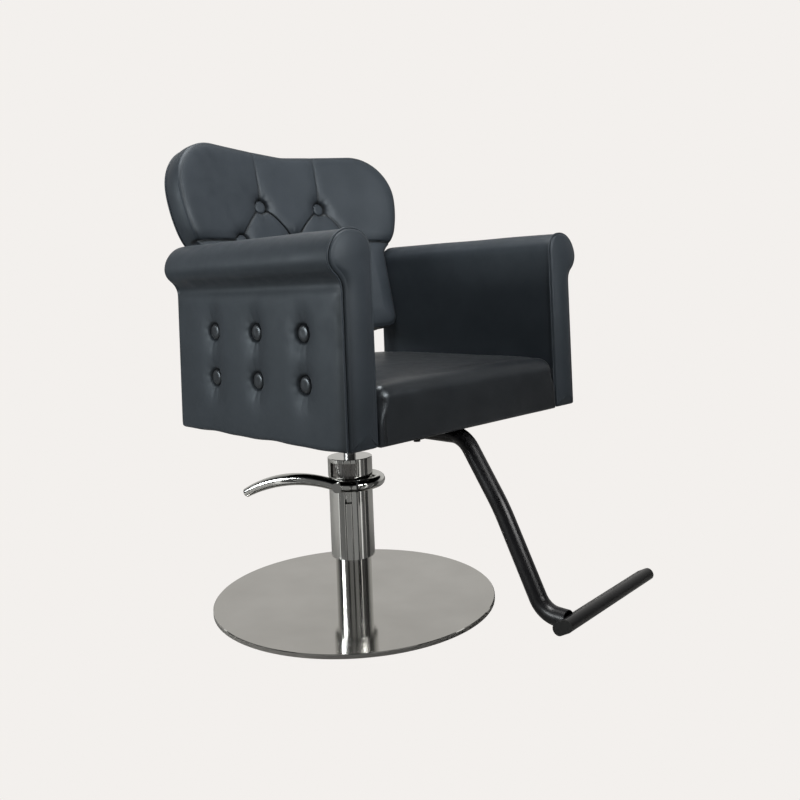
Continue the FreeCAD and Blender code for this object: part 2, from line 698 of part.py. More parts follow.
def make_seat_frame():
    """Wooden frame, cross rails, board and the cloth that closes the underside."""
    outer = box((-frame_half, frame_front, rail_bottom), (frame_half, frame_rear, rail_top))
    inner_half = frame_half - dims.rail_thick
    inner_front = frame_front + dims.rail_thick
    inner_rear = frame_rear - dims.rail_thick
    inner = box((-inner_half, inner_front, rail_bottom), (inner_half, inner_rear, rail_top))
    holes = arm_bolt_holes(dims.bolt_radius + dims.bolt_gap) + bracket_foot_holes()
    node("seat_frame", less(outer, [inner] + holes))
    rails = []
    for low, high in cross_rails():
        rails.append(box((-inner_half, low, rail_bottom), (inner_half, high, cross_rail_top)))
    wood_holes = [rod(dims.bolt_radius, dims.rail_thick, (x, y, rail_bottom))
                  for x, y in list(mount_bolt_places()) + list(clamp_bolt_places())]
    grouped("seat_cross_rails", [less(rail, wood_holes) for rail in rails])
    node("seat_board", box((-frame_half, frame_front, rail_top),
                           (frame_half, frame_rear, board_top)))
    cloth = box((-frame_half, frame_front, dims.seat_bottom),
                (frame_half, frame_rear, rail_bottom))
    cloth_holes = [rod(dims.bolt_radius + dims.bolt_gap, dims.cloth_thick, (x, y, dims.seat_bottom))
                   for x, y in list(mount_bolt_places()) + list(clamp_bolt_places())]
    node("seat_bottom_cloth", less(cloth, cloth_holes))


def make_seat_cushion():
    """Upholstered seat, front apron and sides, open below for the frame."""
    half = dims.seat_half_width
    block = box((-half, dims.seat_front, dims.seat_bottom), (half, dims.seat_rear, dims.seat_top))
    top = dims.seat_top.value
    soft = softened(block, dims.seat_edge_round.value, lambda point: point.z > top - 1)
    gap = dims.pad_gap
    pocket = box((-frame_half - gap, frame_front - gap, dims.seat_bottom),
                 (frame_half + gap, frame_rear + gap, board_top + gap))
    holes = arm_bolt_holes(dims.bolt_radius + 1) + bracket_foot_holes()
    node("seat_cushion", less(soft, [pocket] + holes))


# ---------------------------------------------------------------- arms


def arm_bolt_points():
    for side in (-1, 1):
        for index in range(ARM_BOLTS):
            yield side, dims.arm_bolt_front + dims.arm_bolt_pitch * index


def arm_bolt_holes(radius):
    """Holes for the arm bolts through everything between frame and arm."""
    start = frame_half - dims.rail_thick - 1
    length = dims.arm_frame_inner - start + dims.arm_frame_thick / 2
    return [rod(radius, length, (start * side, y, dims.arm_bolt_height),
                "+x" if side > 0 else "-x") for side, y in arm_bolt_points()]


def arm_profile(front, rear):
    """The arm's section, with its rolled top, drawn between two Y planes."""
    inner = dims.arm_inner.value
    outer = dims.arm_outer.value
    low = dims.seat_bottom.value
    neck = dims.arm_neck.value
    roll = dims.arm_roll_height.value
    top = dims.arm_top.value
    crown = dims.arm_crown.value
    edge = dims.arm_roll_out.value
    shoulder = top - (crown - inner)
    slope = math.sqrt(0.5)

    def at(x, z):
        return Vector(x, front.value, z)

    rise = crown - inner
    drop = roll - neck
    throat = outer + (edge - outer) * 0.45
    edges = [
        Part.LineSegment(at(inner, low), at(inner, shoulder)),
        Part.Arc(at(inner, shoulder), at(crown - rise * slope, shoulder + rise * slope),
                 at(crown, top)),
        Part.Arc(at(crown, top), at(crown + (edge - crown) * 0.74, roll + (top - roll) * 0.70),
                 at(edge, roll)),
        Part.Arc(at(edge, roll), at(edge - 5, roll - drop * 0.34),
                 at(throat, roll - drop * 0.54)),
        Part.Arc(at(throat, roll - drop * 0.54), at(outer + 3, neck + drop * 0.22),
                 at(outer, neck)),
        Part.LineSegment(at(outer, neck), at(outer, low)),
        Part.LineSegment(at(outer, low), at(inner, low)),
    ]
    face = Part.Face(Part.Wire([edge.toShape() for edge in edges]))
    return feature(face.extrude(Vector(0, rear.value - front.value, 0)))


def arm_button_places():
    for index in range(ARM_BUTTON_COLUMNS):
        for height in (dims.arm_button_low, dims.arm_button_high):
            yield dims.arm_button_front + dims.arm_button_pitch * index, height


def make_arms():
    """Left arm, and the right arm as its mirror image."""
    inner_x = dims.arm_frame_inner
    outer_x = inner_x + dims.arm_frame_thick
    margin = 14
    low = dims.seat_bottom + 1
    panel = box((inner_x, arm_body_front + margin, low),
                (outer_x, dims.arm_rear - margin, dims.arm_frame_top))
    nut_holes = [rod(dims.nut_radius, dims.arm_frame_thick, (inner_x, y, dims.arm_bolt_height), "+x")
                 for side, y in arm_bolt_points() if side > 0]
    frame = node("arm_frame_left", less(panel, nut_holes))
    mirrored("arm_frame_right", frame)

    gap = dims.pad_gap
    pocket = box((inner_x - gap, arm_body_front + margin - gap, dims.seat_bottom),
                 (outer_x + gap, dims.arm_rear - margin + gap, dims.arm_frame_top + gap))
    bores = [rod(dims.bolt_radius + 1, inner_x - dims.arm_inner,
                 (dims.arm_inner, y, dims.arm_bolt_height), "+x")
             for side, y in arm_bolt_points() if side > 0]
    flanges = [rod(dims.nut_flange_radius + 0.5, dims.nut_flange_thick + 1,
                   (outer_x, y, dims.arm_bolt_height), "+x")
               for side, y in arm_bolt_points() if side > 0]
    depth = dims.arm_button_sink + dims.arm_button_thick
    wells = [rod(dims.arm_button_radius + 1.2, depth, (dims.arm_outer, y, z), "-x")
             for y, z in arm_button_places()]
    solid = arm_profile(arm_body_front, dims.arm_rear)
    pad = node("arm_pad_left", less(solid, [pocket] + bores + flanges + wells))
    mirrored("arm_pad_right", pad)

    front = node("arm_front_panel_left", arm_profile(dims.seat_front, arm_body_front))
    mirrored("arm_front_panel_right", front)

    discs = [rod(dims.arm_button_radius, dims.arm_button_thick,
                 (dims.arm_outer - dims.arm_button_sink, y, z), "-x")
             for y, z in arm_button_places()]
    buttons = grouped("arm_buttons_left", discs)
    mirrored("arm_buttons_right", buttons)
    make_arm_bolts(inner_x, outer_x)


def make_arm_bolts(inner_x, outer_x):
    seat = frame_half - dims.rail_thick
    bolts = []
    nuts = []
    for side, y in arm_bolt_points():
        along = "+x" if side > 0 else "-x"
        z = dims.arm_bolt_height
        head_start = seat - dims.bolt_head_thick
        head = rod(dims.bolt_head_radius, dims.bolt_head_thick, (head_start * side, y, z), along)
        shank = rod(dims.bolt_radius, outer_x - seat - 2, (seat * side, y, z), along)
        bolts.append(fused([head, shank]))
        barrel = rod(dims.nut_radius, dims.arm_frame_thick, (inner_x * side, y, z), along)
        flange = rod(dims.nut_flange_radius, dims.nut_flange_thick, (outer_x * side, y, z), along)
        bore = rod(dims.bolt_radius, dims.arm_frame_thick + dims.nut_flange_thick,
                   (inner_x * side, y, z), along)
        nuts.append(less(fused([barrel, flange]), [bore]))
    grouped("arm_bolts", bolts)
    grouped("arm_tee_nuts", nuts)


# ---------------------------------------------------------------- back


def back_radius():
    """Radius of the back's hollow front face, from its width and its depth."""
    half = dims.back_half_width
    hollow = dims.back_hollow
    return (half * half + hollow * hollow) / (hollow * 2)


def back_centre_y():
    return dims.back_pivot_y + dims.back_hollow - back_radius()


def leaned(item):
    """Lean a piece built upright about the back's reference line."""
    pivot = Vector(0, dims.back_pivot_y.value, dims.back_pivot_z.value)
    turn = Rotation(Vector(1, 0, 0), -dims.back_lean.value)
    item.Placement = Placement(pivot - turn.multVec(pivot), turn)
    return item


def on_back(x, depth, height):
    """World (y, z) of a point at a depth behind the back's front face."""
    radius = back_radius().value + depth
    y = math.sqrt(radius ** 2 - x ** 2) + back_centre_y().value - dims.back_pivot_y.value
    z = height - dims.back_pivot_z.value
    lean = math.radians(dims.back_lean.value)
    return (dims.back_pivot_y.value + y * math.cos(lean) + z * math.sin(lean),
            dims.back_pivot_z.value - y * math.sin(lean) + z * math.cos(lean))


def back_layer(front_depth, rear_depth, bottom, top):
    """Slab between two depths behind the front face, bent about an upright axis."""
    outer = rod(back_radius() + rear_depth, top - bottom, (0, back_centre_y(), bottom))
    inner = rod(back_radius() + front_depth, top - bottom, (0, back_centre_y(), bottom))
    return less(outer, [inner])


def back_outline(share):
    """Front view of the back with two lobes and a waist, as a prism through its depth."""
    low = dims.back_low_half.value
    bottom = dims.back_bottom.value
    corner = dims.back_corner_round.value
    straight = dims.back_straight_top.value
    waist = dims.back_waist_half.value
    waist_z = dims.back_waist.value
    wide = dims.back_half_width.value
    wide_z = dims.back_widest.value
    lobe = dims.back_lobe_x.value
    lobe_z = dims.back_lobe_top.value
    valley_z = dims.back_valley_top.value
    slope = math.sqrt(0.5)
    middle_z = (bottom + lobe_z) / 2

    def at(x, z):
        return Vector(x * share, 0, middle_z + (z - middle_z) * share)

    def half(side):
        return [
            Part.LineSegment(at(0, bottom), at(side * (low - corner), bottom)),
            Part.Arc(at(side * (low - corner), bottom),
                     at(side * (low - corner * (1 - slope)), bottom + corner * (1 - slope)),
                     at(side * low, bottom + corner)),
            Part.LineSegment(at(side * low, bottom + corner), at(side * low, straight)),
            Part.Arc(at(side * low, straight),
                     at(side * (low + (waist - low) * 0.35), (straight + waist_z) / 2),
                     at(side * waist, waist_z)),
            Part.Arc(at(side * waist, waist_z),
                     at(side * (wide - 7), waist_z + (wide_z - waist_z) * 0.55),
                     at(side * wide, wide_z)),
            Part.Arc(at(side * wide, wide_z),
                     at(side * (lobe + (wide - lobe) * 0.72), wide_z + (lobe_z - wide_z) * 0.74),
                     at(side * lobe, lobe_z)),
            Part.Arc(at(side * lobe, lobe_z),
                     at(side * lobe * 0.55, lobe_z - (lobe_z - valley_z) * 0.38),
                     at(0, valley_z)),
        ]

    left = half(1)
    right = half(-1)
    wire = Part.Wire(Part.__sortEdges__([edge.toShape() for edge in left + right]))
    return feature(Part.Face(wire).extrude(Vector(0, 600, 0)))


def back_button_places():
    for side in (-1, 1):
        yield dims.back_upper_x * side, dims.back_upper_z
        yield dims.back_lower_x * side, dims.back_lower_z
    yield sized(0), dims.back_lower_z


def back_button(x, z, radius, depth, thick):
    """Disc square to the hollow face, its front at a depth behind the face."""
    arc = back_radius().value
    lean = math.asin(x.value / arc)
    centre = back_centre_y().value
    reach = arc + depth.value
    start = Vector(reach * math.sin(lean), centre + reach * math.cos(lean), z.value)
    along = Vector(math.sin(lean), math.cos(lean), 0)
    return feature(Part.makeCylinder(radius.value, thick.value, start, along))


def upper_bolt(x, height, radius, start, length):
    """Straight piece through the back, in the back's own upright frame."""
    return rod(radius, length, (x, start, height), "-y")


def make_back():
    """Concave tufted back: padding, bent plywood, rear cover and covered buttons."""
    cover_depth = dims.back_thick - dims.rear_cover_thick
    board_depth = cover_depth - dims.back_board_thick
    low = dims.back_bottom - 50
    high = dims.back_lobe_top + 50
    reach = bracket_bolt_start()
    holes = [upper_bolt(x, height, dims.bolt_radius + dims.bolt_gap, reach, 60)
             for x, height in upper_bolt_places()]

    board = overlap_of(back_layer(board_depth, cover_depth, low, high),
                       back_outline(dims.back_board_inset.value))
    node("back_board", leaned(less(board, holes)))
    cover = overlap_of(back_layer(cover_depth, dims.back_thick, low, high), back_outline(1))
    node("back_rear_cover", leaned(less(cover, holes)))

    grown = dims.back_board_inset.value + 0.002
    pocket = overlap_of(back_layer(board_depth - dims.pad_gap, cover_depth, low, high),
                        back_outline(grown))
    wells = [back_button(x, z, dims.back_button_radius + 1, sized(-20),
                         dims.back_button_sink + dims.back_button_thick + 20)
             for x, z in back_button_places()]
    pad = overlap_of(back_layer(sized(0), cover_depth, low, high), back_outline(1))
    node("back_cushion", leaned(less(less(pad, [pocket]), wells + holes)))

    buttons = [back_button(x, z, dims.back_button_radius, dims.back_button_sink,
                           dims.back_button_thick) for x, z in back_button_places()]
    leaned(grouped("back_buttons", buttons))


# ---------------------------------------------------------------- back brackets


def bracket_foot_places():
    for side in (-1, 1):
        for height in (rail_bottom + 14, rail_bottom + 37):
            yield dims.bracket_x * side, height


def upper_bolt_places():
    for side in (-1, 1):
        for drop in (20, 70):
            yield dims.bracket_x * side, dims.bracket_upper - drop


def bracket_bolt_start():
    """Where the upper bolts' shanks start, behind the bracket."""
    inner_edge = dims.bracket_x.value - dims.bracket_width.value / 2
    radius = back_radius().value + dims.back_thick.value
    behind = math.sqrt(radius ** 2 - inner_edge ** 2) - back_radius().value
    return dims.back_pivot_y + dims.back_hollow + behind + dims.bracket_thick + 0.3


def bracket_foot_holes():
    start = dims.seat_rear + 5
    return [rod(dims.bolt_radius + dims.bolt_gap, dims.seat_skirt + dims.rail_thick + 10,
                (x, start, z), "-y") for x, z in bracket_foot_places()]


def bracket_blank():
    """Flat bar bent from the seat's rear up to the leaned back."""
    inner_edge = dims.bracket_x.value - dims.bracket_width.value / 2
    thick = dims.bracket_thick.value
    lean = math.radians(dims.back_lean.value)
    foot_y = dims.seat_rear.value + 0.3
    low_y, low_z = on_back(inner_edge, dims.back_thick.value + 0.3, dims.back_bottom.value + 4)
    top_y, top_z = on_back(inner_edge, dims.back_thick.value + 0.3, dims.bracket_upper.value)
    front = [(foot_y, dims.bracket_foot.value), (foot_y, dims.bracket_bend.value),
             (low_y, low_z), (top_y, top_z)]
    slant = math.atan2(low_y - foot_y, low_z - dims.bracket_bend.value)
    bends = (0, slant / 2, (slant + lean) / 2, lean)
    halves = (0, slant / 2, (slant - lean) / 2, 0)
    rear = [(y + thick * math.cos(turn) / math.cos(half),
             z - thick * math.sin(turn) / math.cos(half))
            for (y, z), turn, half in zip(front, bends, halves)]
    points = [Vector(inner_edge, y, z) for y, z in front + rear[::-1]]
    face = Part.Face(Part.makePolygon(points + points[:1]))
    return feature(face.extrude(Vector(dims.bracket_width.value, 0, 0)))


def make_brackets():
    behind = dims.seat_rear + 0.3 + dims.bracket_thick
    inner_rail = frame_rear - dims.rail_thick
    upper_start = bracket_bolt_start()
    grip = dims.bracket_thick + dims.rear_cover_thick + dims.back_board_thick - 2
    foot_holes = [rod(dims.bolt_radius + dims.bolt_gap, 30, (x, behind + 5, z), "-y")
                  for x, z in bracket_foot_places() if x.value > 0]
    blank = bracket_blank()
    upper_holes = [leaned(upper_bolt_solid(x, height, dims.bolt_radius + dims.bolt_gap,
                                           upper_start + 5, 40))
                   for x, height in upper_bolt_places() if x.value > 0]
    left = node("back_bracket_left", less(blank, foot_holes + upper_holes))
    mirrored("back_bracket_right", left)
    feet = []
    for x, z in bracket_foot_places():
        head = rod(dims.bolt_head_radius, dims.bolt_head_thick,
                   (x, behind + dims.bolt_head_thick, z), "-y")
        shank = rod(dims.bolt_radius, behind - inner_rail, (x, behind, z), "-y")
        feet.append(fused([head, shank]))
    grouped("bracket_foot_bolts", feet)
    tops = []
    for x, height in upper_bolt_places():
        head = upper_bolt_solid(x, height, dims.bolt_head_radius,
                                upper_start + dims.bolt_head_thick, dims.bolt_head_thick)
        shank = upper_bolt_solid(x, height, dims.bolt_radius, upper_start, grip)
        tops.append(fused([head, shank]))
    leaned(grouped("bracket_back_bolts", tops))


def upper_bolt_solid(x, height, radius, start, length):
    """Cylinder through the back as a plain shape, so that it can lean."""
    at = Vector(x.value, sized(start).value, height.value)
    shape = Part.makeCylinder(radius.value, sized(length).value, at, Vector(0, -1, 0))
    return feature(shape)


# ---------------------------------------------------------------- footrest


def stem_path():
    """Centre line of the stem: straight runs joined by tangent arcs."""
    x = dims.stem_x.value
    corners = [
        (dims.stem_start.value, stem_height.value, 0),
        (dims.stem_elbow_y.value, stem_height.value, dims.stem_elbow_round.value),
        (dims.stem_knee_y.value, dims.stem_knee_z.value, dims.stem_knee_round.value),
        (dims.stem_ankle_y.value, dims.bar_height.value, dims.stem_ankle_round.value),
        (dims.bar_y.value + dims.bar_depth.value * 0.3, dims.bar_height.value, 0),
    ]
    points = [Vector(x, y, z) for y, z, radius in corners]
    edges = []
    start = points[0]
    for index in range(1, len(points) - 1):
        corner = points[index]
        back = (points[index - 1] - corner).normalize()
        ahead = (points[index + 1] - corner).normalize()
        turn = back.getAngle(ahead)
        radius = corners[index][2]
        run = radius / math.tan(turn / 2)
        entry = corner + back * run
        leave = corner + ahead * run
        inward = (back + ahead).normalize()
        middle = corner + inward * (radius / math.sin(turn / 2) - radius)
        edges.append(Part.LineSegment(start, entry).toShape())
        edges.append(Part.Arc(entry, middle, leave).toShape())
        start = leave
    edges.append(Part.LineSegment(start, points[-1]).toShape())
    return Part.Wire(edges)


def swept(path, radius):
    ring = Part.Wire(Part.makeCircle(radius, path.Edges[0].Vertexes[0].Point, Vector(0, 1, 0)))
    return path.makePipeShell([ring], True, False)


def foot_bar_blank(left, right):
    """Flat oval bar along X."""
    half = dims.bar_depth.value / 2
    end = dims.bar_thick.value / 2
    y = dims.bar_y.value
    z = dims.bar_height.value
    flat = half - end

    def at(across, up):
        return Vector(left.value, y + across, z + up)

    edges = [
        Part.LineSegment(at(-flat, end), at(flat, end)),
        Part.Arc(at(flat, end), at(half, 0), at(flat, -end)),
        Part.LineSegment(at(flat, -end), at(-flat, -end)),
        Part.Arc(at(-flat, -end), at(-half, 0), at(-flat, end)),
    ]
    face = Part.Face(Part.Wire([edge.toShape() for edge in edges]))
    bar = feature(face.extrude(Vector(right.value - left.value, 0, 0)))
    end_middle = Vector(dims.bar_right_end.value, y, z)
    heading = Rotation(Vector(0, 0, 1), dims.bar_heading.value)
    turn = heading.multiply(Rotation(Vector(1, 0, 0), -dims.bar_tilt.value))
    bar.Placement = Placement(end_middle - turn.multVec(end_middle), turn)
    return bar


def make_footrest():
    """Bent stem clamped under the seat, with an off-centre foot bar."""
    cap = dims.bar_cap_thick
    bar_left = dims.bar_left_end - cap
    bar_right = dims.bar_right_end + cap
    bar = node("footrest_bar", foot_bar_blank(bar_right, bar_left))
    grouped("footrest_end_caps", [foot_bar_blank(dims.bar_right_end, bar_right),
                                  foot_bar_blank(bar_left, dims.bar_left_end)])
    path = stem_path()
    outer = feature(swept(path, dims.stem_radius.value))
    inner = feature(swept(path, dims.stem_radius.value - dims.stem_wall.value))
    node("footrest_stem", less(outer, [inner, bar]))
    bore = dims.stem_radius - dims.stem_wall
    node("stem_plug", fused([
        rod(bore, 12, (dims.stem_x, dims.stem_start, stem_height), "-y"),
        rod(dims.stem_radius, 3, (dims.stem_x, dims.stem_start, stem_height), "+y")]))
    make_clamps()


def make_clamps():
    low = stem_height - dims.stem_radius + 4
    clamps = []
    for end in (-1, 1):
        middle = dims.clamp_y + dims.clamp_spread * end
        half = dims.clamp_length / 2
        block = box((dims.stem_x - dims.clamp_half_width, middle - half, low),
                    (dims.stem_x + dims.clamp_half_width, middle + half, dims.seat_bottom))
        groove = rod(dims.stem_radius, dims.clamp_length,
                     (dims.stem_x, middle - half, stem_height), "+y")
        slot = box((dims.stem_x - dims.stem_radius, middle - half, low),
                   (dims.stem_x + dims.stem_radius, middle + half, stem_height))
        holes = [rod(dims.bolt_radius + dims.bolt_gap, dims.seat_bottom - low,
                     (dims.stem_x + dims.clamp_bolt_offset * side, middle, low))
                 for side in (-1, 1)]
        clamps.append(less(block, [groove, slot] + holes))
    grouped("footrest_clamps", clamps)
    grouped("clamp_bolts", [upright_bolt(x, y, low, cross_rail_top - 3)
                            for x, y in clamp_bolt_places()])


# ---------------------------------------------------------------- build and export


def check_objects():
    for item in doc.Objects:
        bad = {"Invalid", "Error"} & set(item.State)
        if bad:
            raise RuntimeError(f"{item.Name} ({item.Label}) is {bad}")
    for label, item in nodes.items():
        if item.Shape.isNull() or not item.Shape.isValid() or not item.Shape.Solids:
            raise RuntimeError(f"{label} has no valid solid")


def export_nodes():
    os.makedirs("parts", exist_ok=True)
    for label, item in nodes.items():
        item.Shape.exportStep(f"parts/{label}.step")
        bounds = item.Shape.BoundBox
        print(f"{label}: {len(item.Shape.Solids)} solid(s), "
              f"{bounds.XLength:.1f} x {bounds.YLength:.1f} x {bounds.ZLength:.1f}")


def main():
    make_base()
    make_pump()
    make_pedal()
    make_mount()
    make_seat_frame()
    make_seat_cushion()
    make_arms()
    make_back()
    make_brackets()
    make_footrest()
    doc.recompute()
    check_objects()
    export_nodes()


main()
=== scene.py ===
import json
import math

import bmesh
import bpy
import numpy as np
from mathutils import Matrix, Vector
from mathutils.kdtree import KDTree


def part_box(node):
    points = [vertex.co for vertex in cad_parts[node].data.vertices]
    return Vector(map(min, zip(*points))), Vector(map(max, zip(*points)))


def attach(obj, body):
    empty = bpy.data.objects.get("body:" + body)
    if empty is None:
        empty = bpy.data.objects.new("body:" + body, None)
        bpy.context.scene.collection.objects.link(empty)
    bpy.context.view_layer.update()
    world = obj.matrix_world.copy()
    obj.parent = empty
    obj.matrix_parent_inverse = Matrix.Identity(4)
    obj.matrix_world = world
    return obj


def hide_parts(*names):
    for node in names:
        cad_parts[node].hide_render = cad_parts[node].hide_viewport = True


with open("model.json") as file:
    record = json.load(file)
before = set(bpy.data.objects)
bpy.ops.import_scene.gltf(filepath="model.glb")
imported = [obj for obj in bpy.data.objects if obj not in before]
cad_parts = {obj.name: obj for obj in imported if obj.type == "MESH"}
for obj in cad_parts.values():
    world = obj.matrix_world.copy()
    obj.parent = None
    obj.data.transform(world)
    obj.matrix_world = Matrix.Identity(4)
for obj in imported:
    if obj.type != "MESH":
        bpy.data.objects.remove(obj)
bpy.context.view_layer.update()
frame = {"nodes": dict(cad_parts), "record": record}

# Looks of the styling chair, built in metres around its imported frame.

MM = 0.001
CHAIR = "chair"

# ---------------------------------------------------------------- node helpers


def material(name):
    made = bpy.data.materials.new(name)
    made.use_nodes = True
    made.node_tree.nodes.clear()
    return made, Nodes(made.node_tree)


class Nodes:
    """Short spelling for a shader tree."""

    def __init__(self, tree):
        self.tree = tree

    def add(self, kind, **settings):
        node = self.tree.nodes.new(kind)
        for key, value in settings.items():
            setattr(node, key, value)
        return node

    def link(self, start, end):
        self.tree.links.new(start, end)

    def coords(self, scale=(1, 1, 1)):
        where = self.add("ShaderNodeTexCoord")
        sized = self.add("ShaderNodeMapping")
        sized.inputs["Scale"].default_value = scale
        self.link(where.outputs["Object"], sized.inputs["Vector"])
        return sized.outputs["Vector"]

    def noise(self, vector, scale, detail=3.0, rough=0.5):
        node = self.add("ShaderNodeTexNoise")
        node.inputs["Scale"].default_value = scale
        node.inputs["Detail"].default_value = detail
        node.inputs["Roughness"].default_value = rough
        self.link(vector, node.inputs["Vector"])
        return node.outputs["Fac"]

    def cells(self, vector, scale, feature="F1"):
        node = self.add("ShaderNodeTexVoronoi", feature=feature)
        node.inputs["Scale"].default_value = scale
        self.link(vector, node.inputs["Vector"])
        return node.outputs["Distance"]

    def ramp(self, value, low, high, start=0.0, end=1.0):
        node = self.add("ShaderNodeMapRange")
        node.inputs["From Min"].default_value = start
        node.inputs["From Max"].default_value = end
        node.inputs["To Min"].default_value = low
        node.inputs["To Max"].default_value = high
        self.link(value, node.inputs["Value"])
        return node.outputs["Result"]

    def tints(self, value, stops):
        node = self.add("ShaderNodeValToRGB")
        ramp = node.color_ramp
        while len(ramp.elements) < len(stops):
            ramp.elements.new(0.5)
        for element, (place, colour) in zip(ramp.elements, stops):
            element.position = place
            element.color = (*colour, 1)
        self.link(value, node.inputs["Fac"])
        return node.outputs["Color"]

    def bump(self, height, strength, distance, under=None):
        node = self.add("ShaderNodeBump")
        node.inputs["Strength"].default_value = strength
        node.inputs["Distance"].default_value = distance
        self.link(height, node.inputs["Height"])
        if under is not None:
            self.link(under, node.inputs["Normal"])
        return node.outputs["Normal"]

    def surface(self, normal=None, colour=None, rough=None, **values):
        shader = self.add("ShaderNodeBsdfPrincipled")
        for key, value in values.items():
            shader.inputs[key.replace("_", " ")].default_value = value
        for socket, wired in (("Normal", normal), ("Base Color", colour), ("Roughness", rough)):
            if wired is not None:
                self.link(wired, shader.inputs[socket])
        out = self.add("ShaderNodeOutputMaterial")
        self.link(shader.outputs["BSDF"], out.inputs["Surface"])


# ---------------------------------------------------------------- finishes


def make_vinyl(name, dark, light, smooth, rough, shine):
    """Soft upholstery vinyl: fine pebble grain, faint mottling, a low sheen and painted shade, which
    darkens its colour where the crease attribute is set.
    """
    made, n = material(name)
    where = n.coords()
    pebble = n.cells(where, 900)
    fold = n.noise(where, 260, 4, 0.6)
    mottle = n.noise(where, 14, 3)
    colour = n.tints(mottle, ((0.3, dark), (0.7, light)))
    # the crease attribute holds painted shade; it scales the colour down to 8 per cent
    crease = n.add("ShaderNodeAttribute", attribute_name="crease")
    colour_with_painted_shade = n.add("ShaderNodeVectorMath", operation="SCALE")
    n.link(colour, colour_with_painted_shade.inputs[0])
    n.link(n.ramp(crease.outputs["Fac"], 1.0, 0.08), colour_with_painted_shade.inputs["Scale"])
    gloss = n.ramp(n.noise(where, 40, 4), smooth, rough, 0.3, 0.7)
    grain = n.bump(pebble, 0.10, 0.0004)
    grain = n.bump(fold, 0.10, 0.0005, grain)
    n.surface(grain, colour_with_painted_shade.outputs["Vector"], gloss, Specular_IOR_Level=shine,
              Specular_Tint=(0.85, 0.94, 1.0, 1.0), Sheen_Weight=0.02, Sheen_Roughness=0.4)
    return made


def make_thread():
    """Waxed black sewing thread with a twist."""
    made, n = material("black_thread")
    where = n.coords()
    twist = n.noise(where, 3000, 2)
    colour = n.tints(twist, ((0.3, (0.03, 0.03, 0.034)), (0.7, (0.07, 0.07, 0.075))))
    n.surface(n.bump(twist, 0.4, 0.0002), colour, None, Roughness=0.5)
    return made


def make_chrome():
    """Bright plate with faint wiping marks."""
    made, n = material("chrome_plate")
    where = n.coords((1, 1, 0.25))
    smear = n.noise(where, 30, 4)
    colour = n.tints(smear, ((0.3, (0.62, 0.62, 0.60)), (0.7, (0.70, 0.70, 0.68))))
    n.surface(n.bump(n.noise(where, 60, 2), 0.03, 0.0006), colour,
              n.ramp(smear, 0.04, 0.11, 0.3, 0.7), Metallic=1.0)
    return made


def make_stainless():
    """Polished stainless sheet with fine turning lines round its middle."""
    made, n = material("polished_stainless")
    place = n.add("ShaderNodeTexCoord")
    length = n.add("ShaderNodeVectorMath", operation="LENGTH")
    n.link(place.outputs["Object"], length.inputs[0])
    lines = n.add("ShaderNodeTexNoise", noise_dimensions="1D")
    lines.inputs["Scale"].default_value = 900
    lines.inputs["Detail"].default_value = 2
    n.link(length.outputs["Value"], lines.inputs["W"])
    cloud = n.noise(place.outputs["Object"], 7, 4)
    colour = n.tints(cloud, ((0.3, (0.50, 0.49, 0.465)), (0.7, (0.57, 0.56, 0.535))))
    n.surface(n.bump(lines.outputs["Fac"], 0.05, 0.0004), colour,
              n.ramp(cloud, 0.07, 0.13, 0.3, 0.7), Metallic=1.0)
    return made


def make_paint():
    """Satin black powder coat with a slight orange-peel surface and rubbed spots."""
    made, n = material("black_powder_coat")
    where = n.coords()
    peel = n.noise(where, 700, 2)
    wear = n.noise(where, 25, 5)
    colour = n.tints(wear, ((0.35, (0.005, 0.005, 0.0055)), (0.75, (0.009, 0.009, 0.010))))
    n.surface(n.bump(peel, 0.012, 0.0002), colour, n.ramp(wear, 0.26, 0.36, 0.3, 0.7),
              Specular_IOR_Level=0.35)
    return made


def make_moulded(name, dark, light, rough):
    """Moulded plastic or rubber with a fine spark-eroded grain."""
    made, n = material(name)
    where = n.coords()
    spark = n.cells(where, 1500)
    colour = n.tints(n.noise(where, 30, 3), ((0.3, dark), (0.7, light)))
    n.surface(n.bump(spark, 0.15, 0.0003), colour, n.ramp(spark, rough, rough + 0.12),
              Specular_IOR_Level=0.4)
    return made


def make_metal(name, dark, light, rough, grain=(1, 1, 1), scale=300):
    """Bare metal with machining or casting marks along one direction."""
    made, n = material(name)
    where = n.coords(grain)
    marks = n.noise(where, scale, 4, 0.6)
    colour = n.tints(marks, ((0.3, dark), (0.7, light)))
    n.surface(n.bump(marks, 0.15, 0.0003), colour, n.ramp(marks, rough, rough + 0.15, 0.3, 0.7),
              Metallic=1.0)
    return made


def make_wood(name, dark, light, along):
    """Raw timber or plywood: long grain lines with fine pores."""
    made, n = material(name)
    where = n.coords(along)
    rings = n.noise(where, 26, 6, 0.65)
    pores = n.noise(where, 240, 2)
    colour = n.tints(rings, ((0.32, dark), (0.68, light)))
    n.surface(n.bump(pores, 0.3, 0.0004), colour, n.ramp(rings, 0.55, 0.75), Specular_IOR_Level=0.3)
    return made


def make_cloth():
    """Thin non-woven dust cloth with pressed dots."""
    made, n = material("dust_cloth")
    where = n.coords()
    dots = n.cells(where, 420)
    fibre = n.noise(where, 500, 5, 0.7)
    colour = n.tints(fibre, ((0.3, (0.012, 0.012, 0.012)), (0.7, (0.03, 0.03, 0.03))))
    n.surface(n.bump(dots, 0.5, 0.0005), colour, None, Roughness=0.95, Sheen_Weight=0.15)
    return made


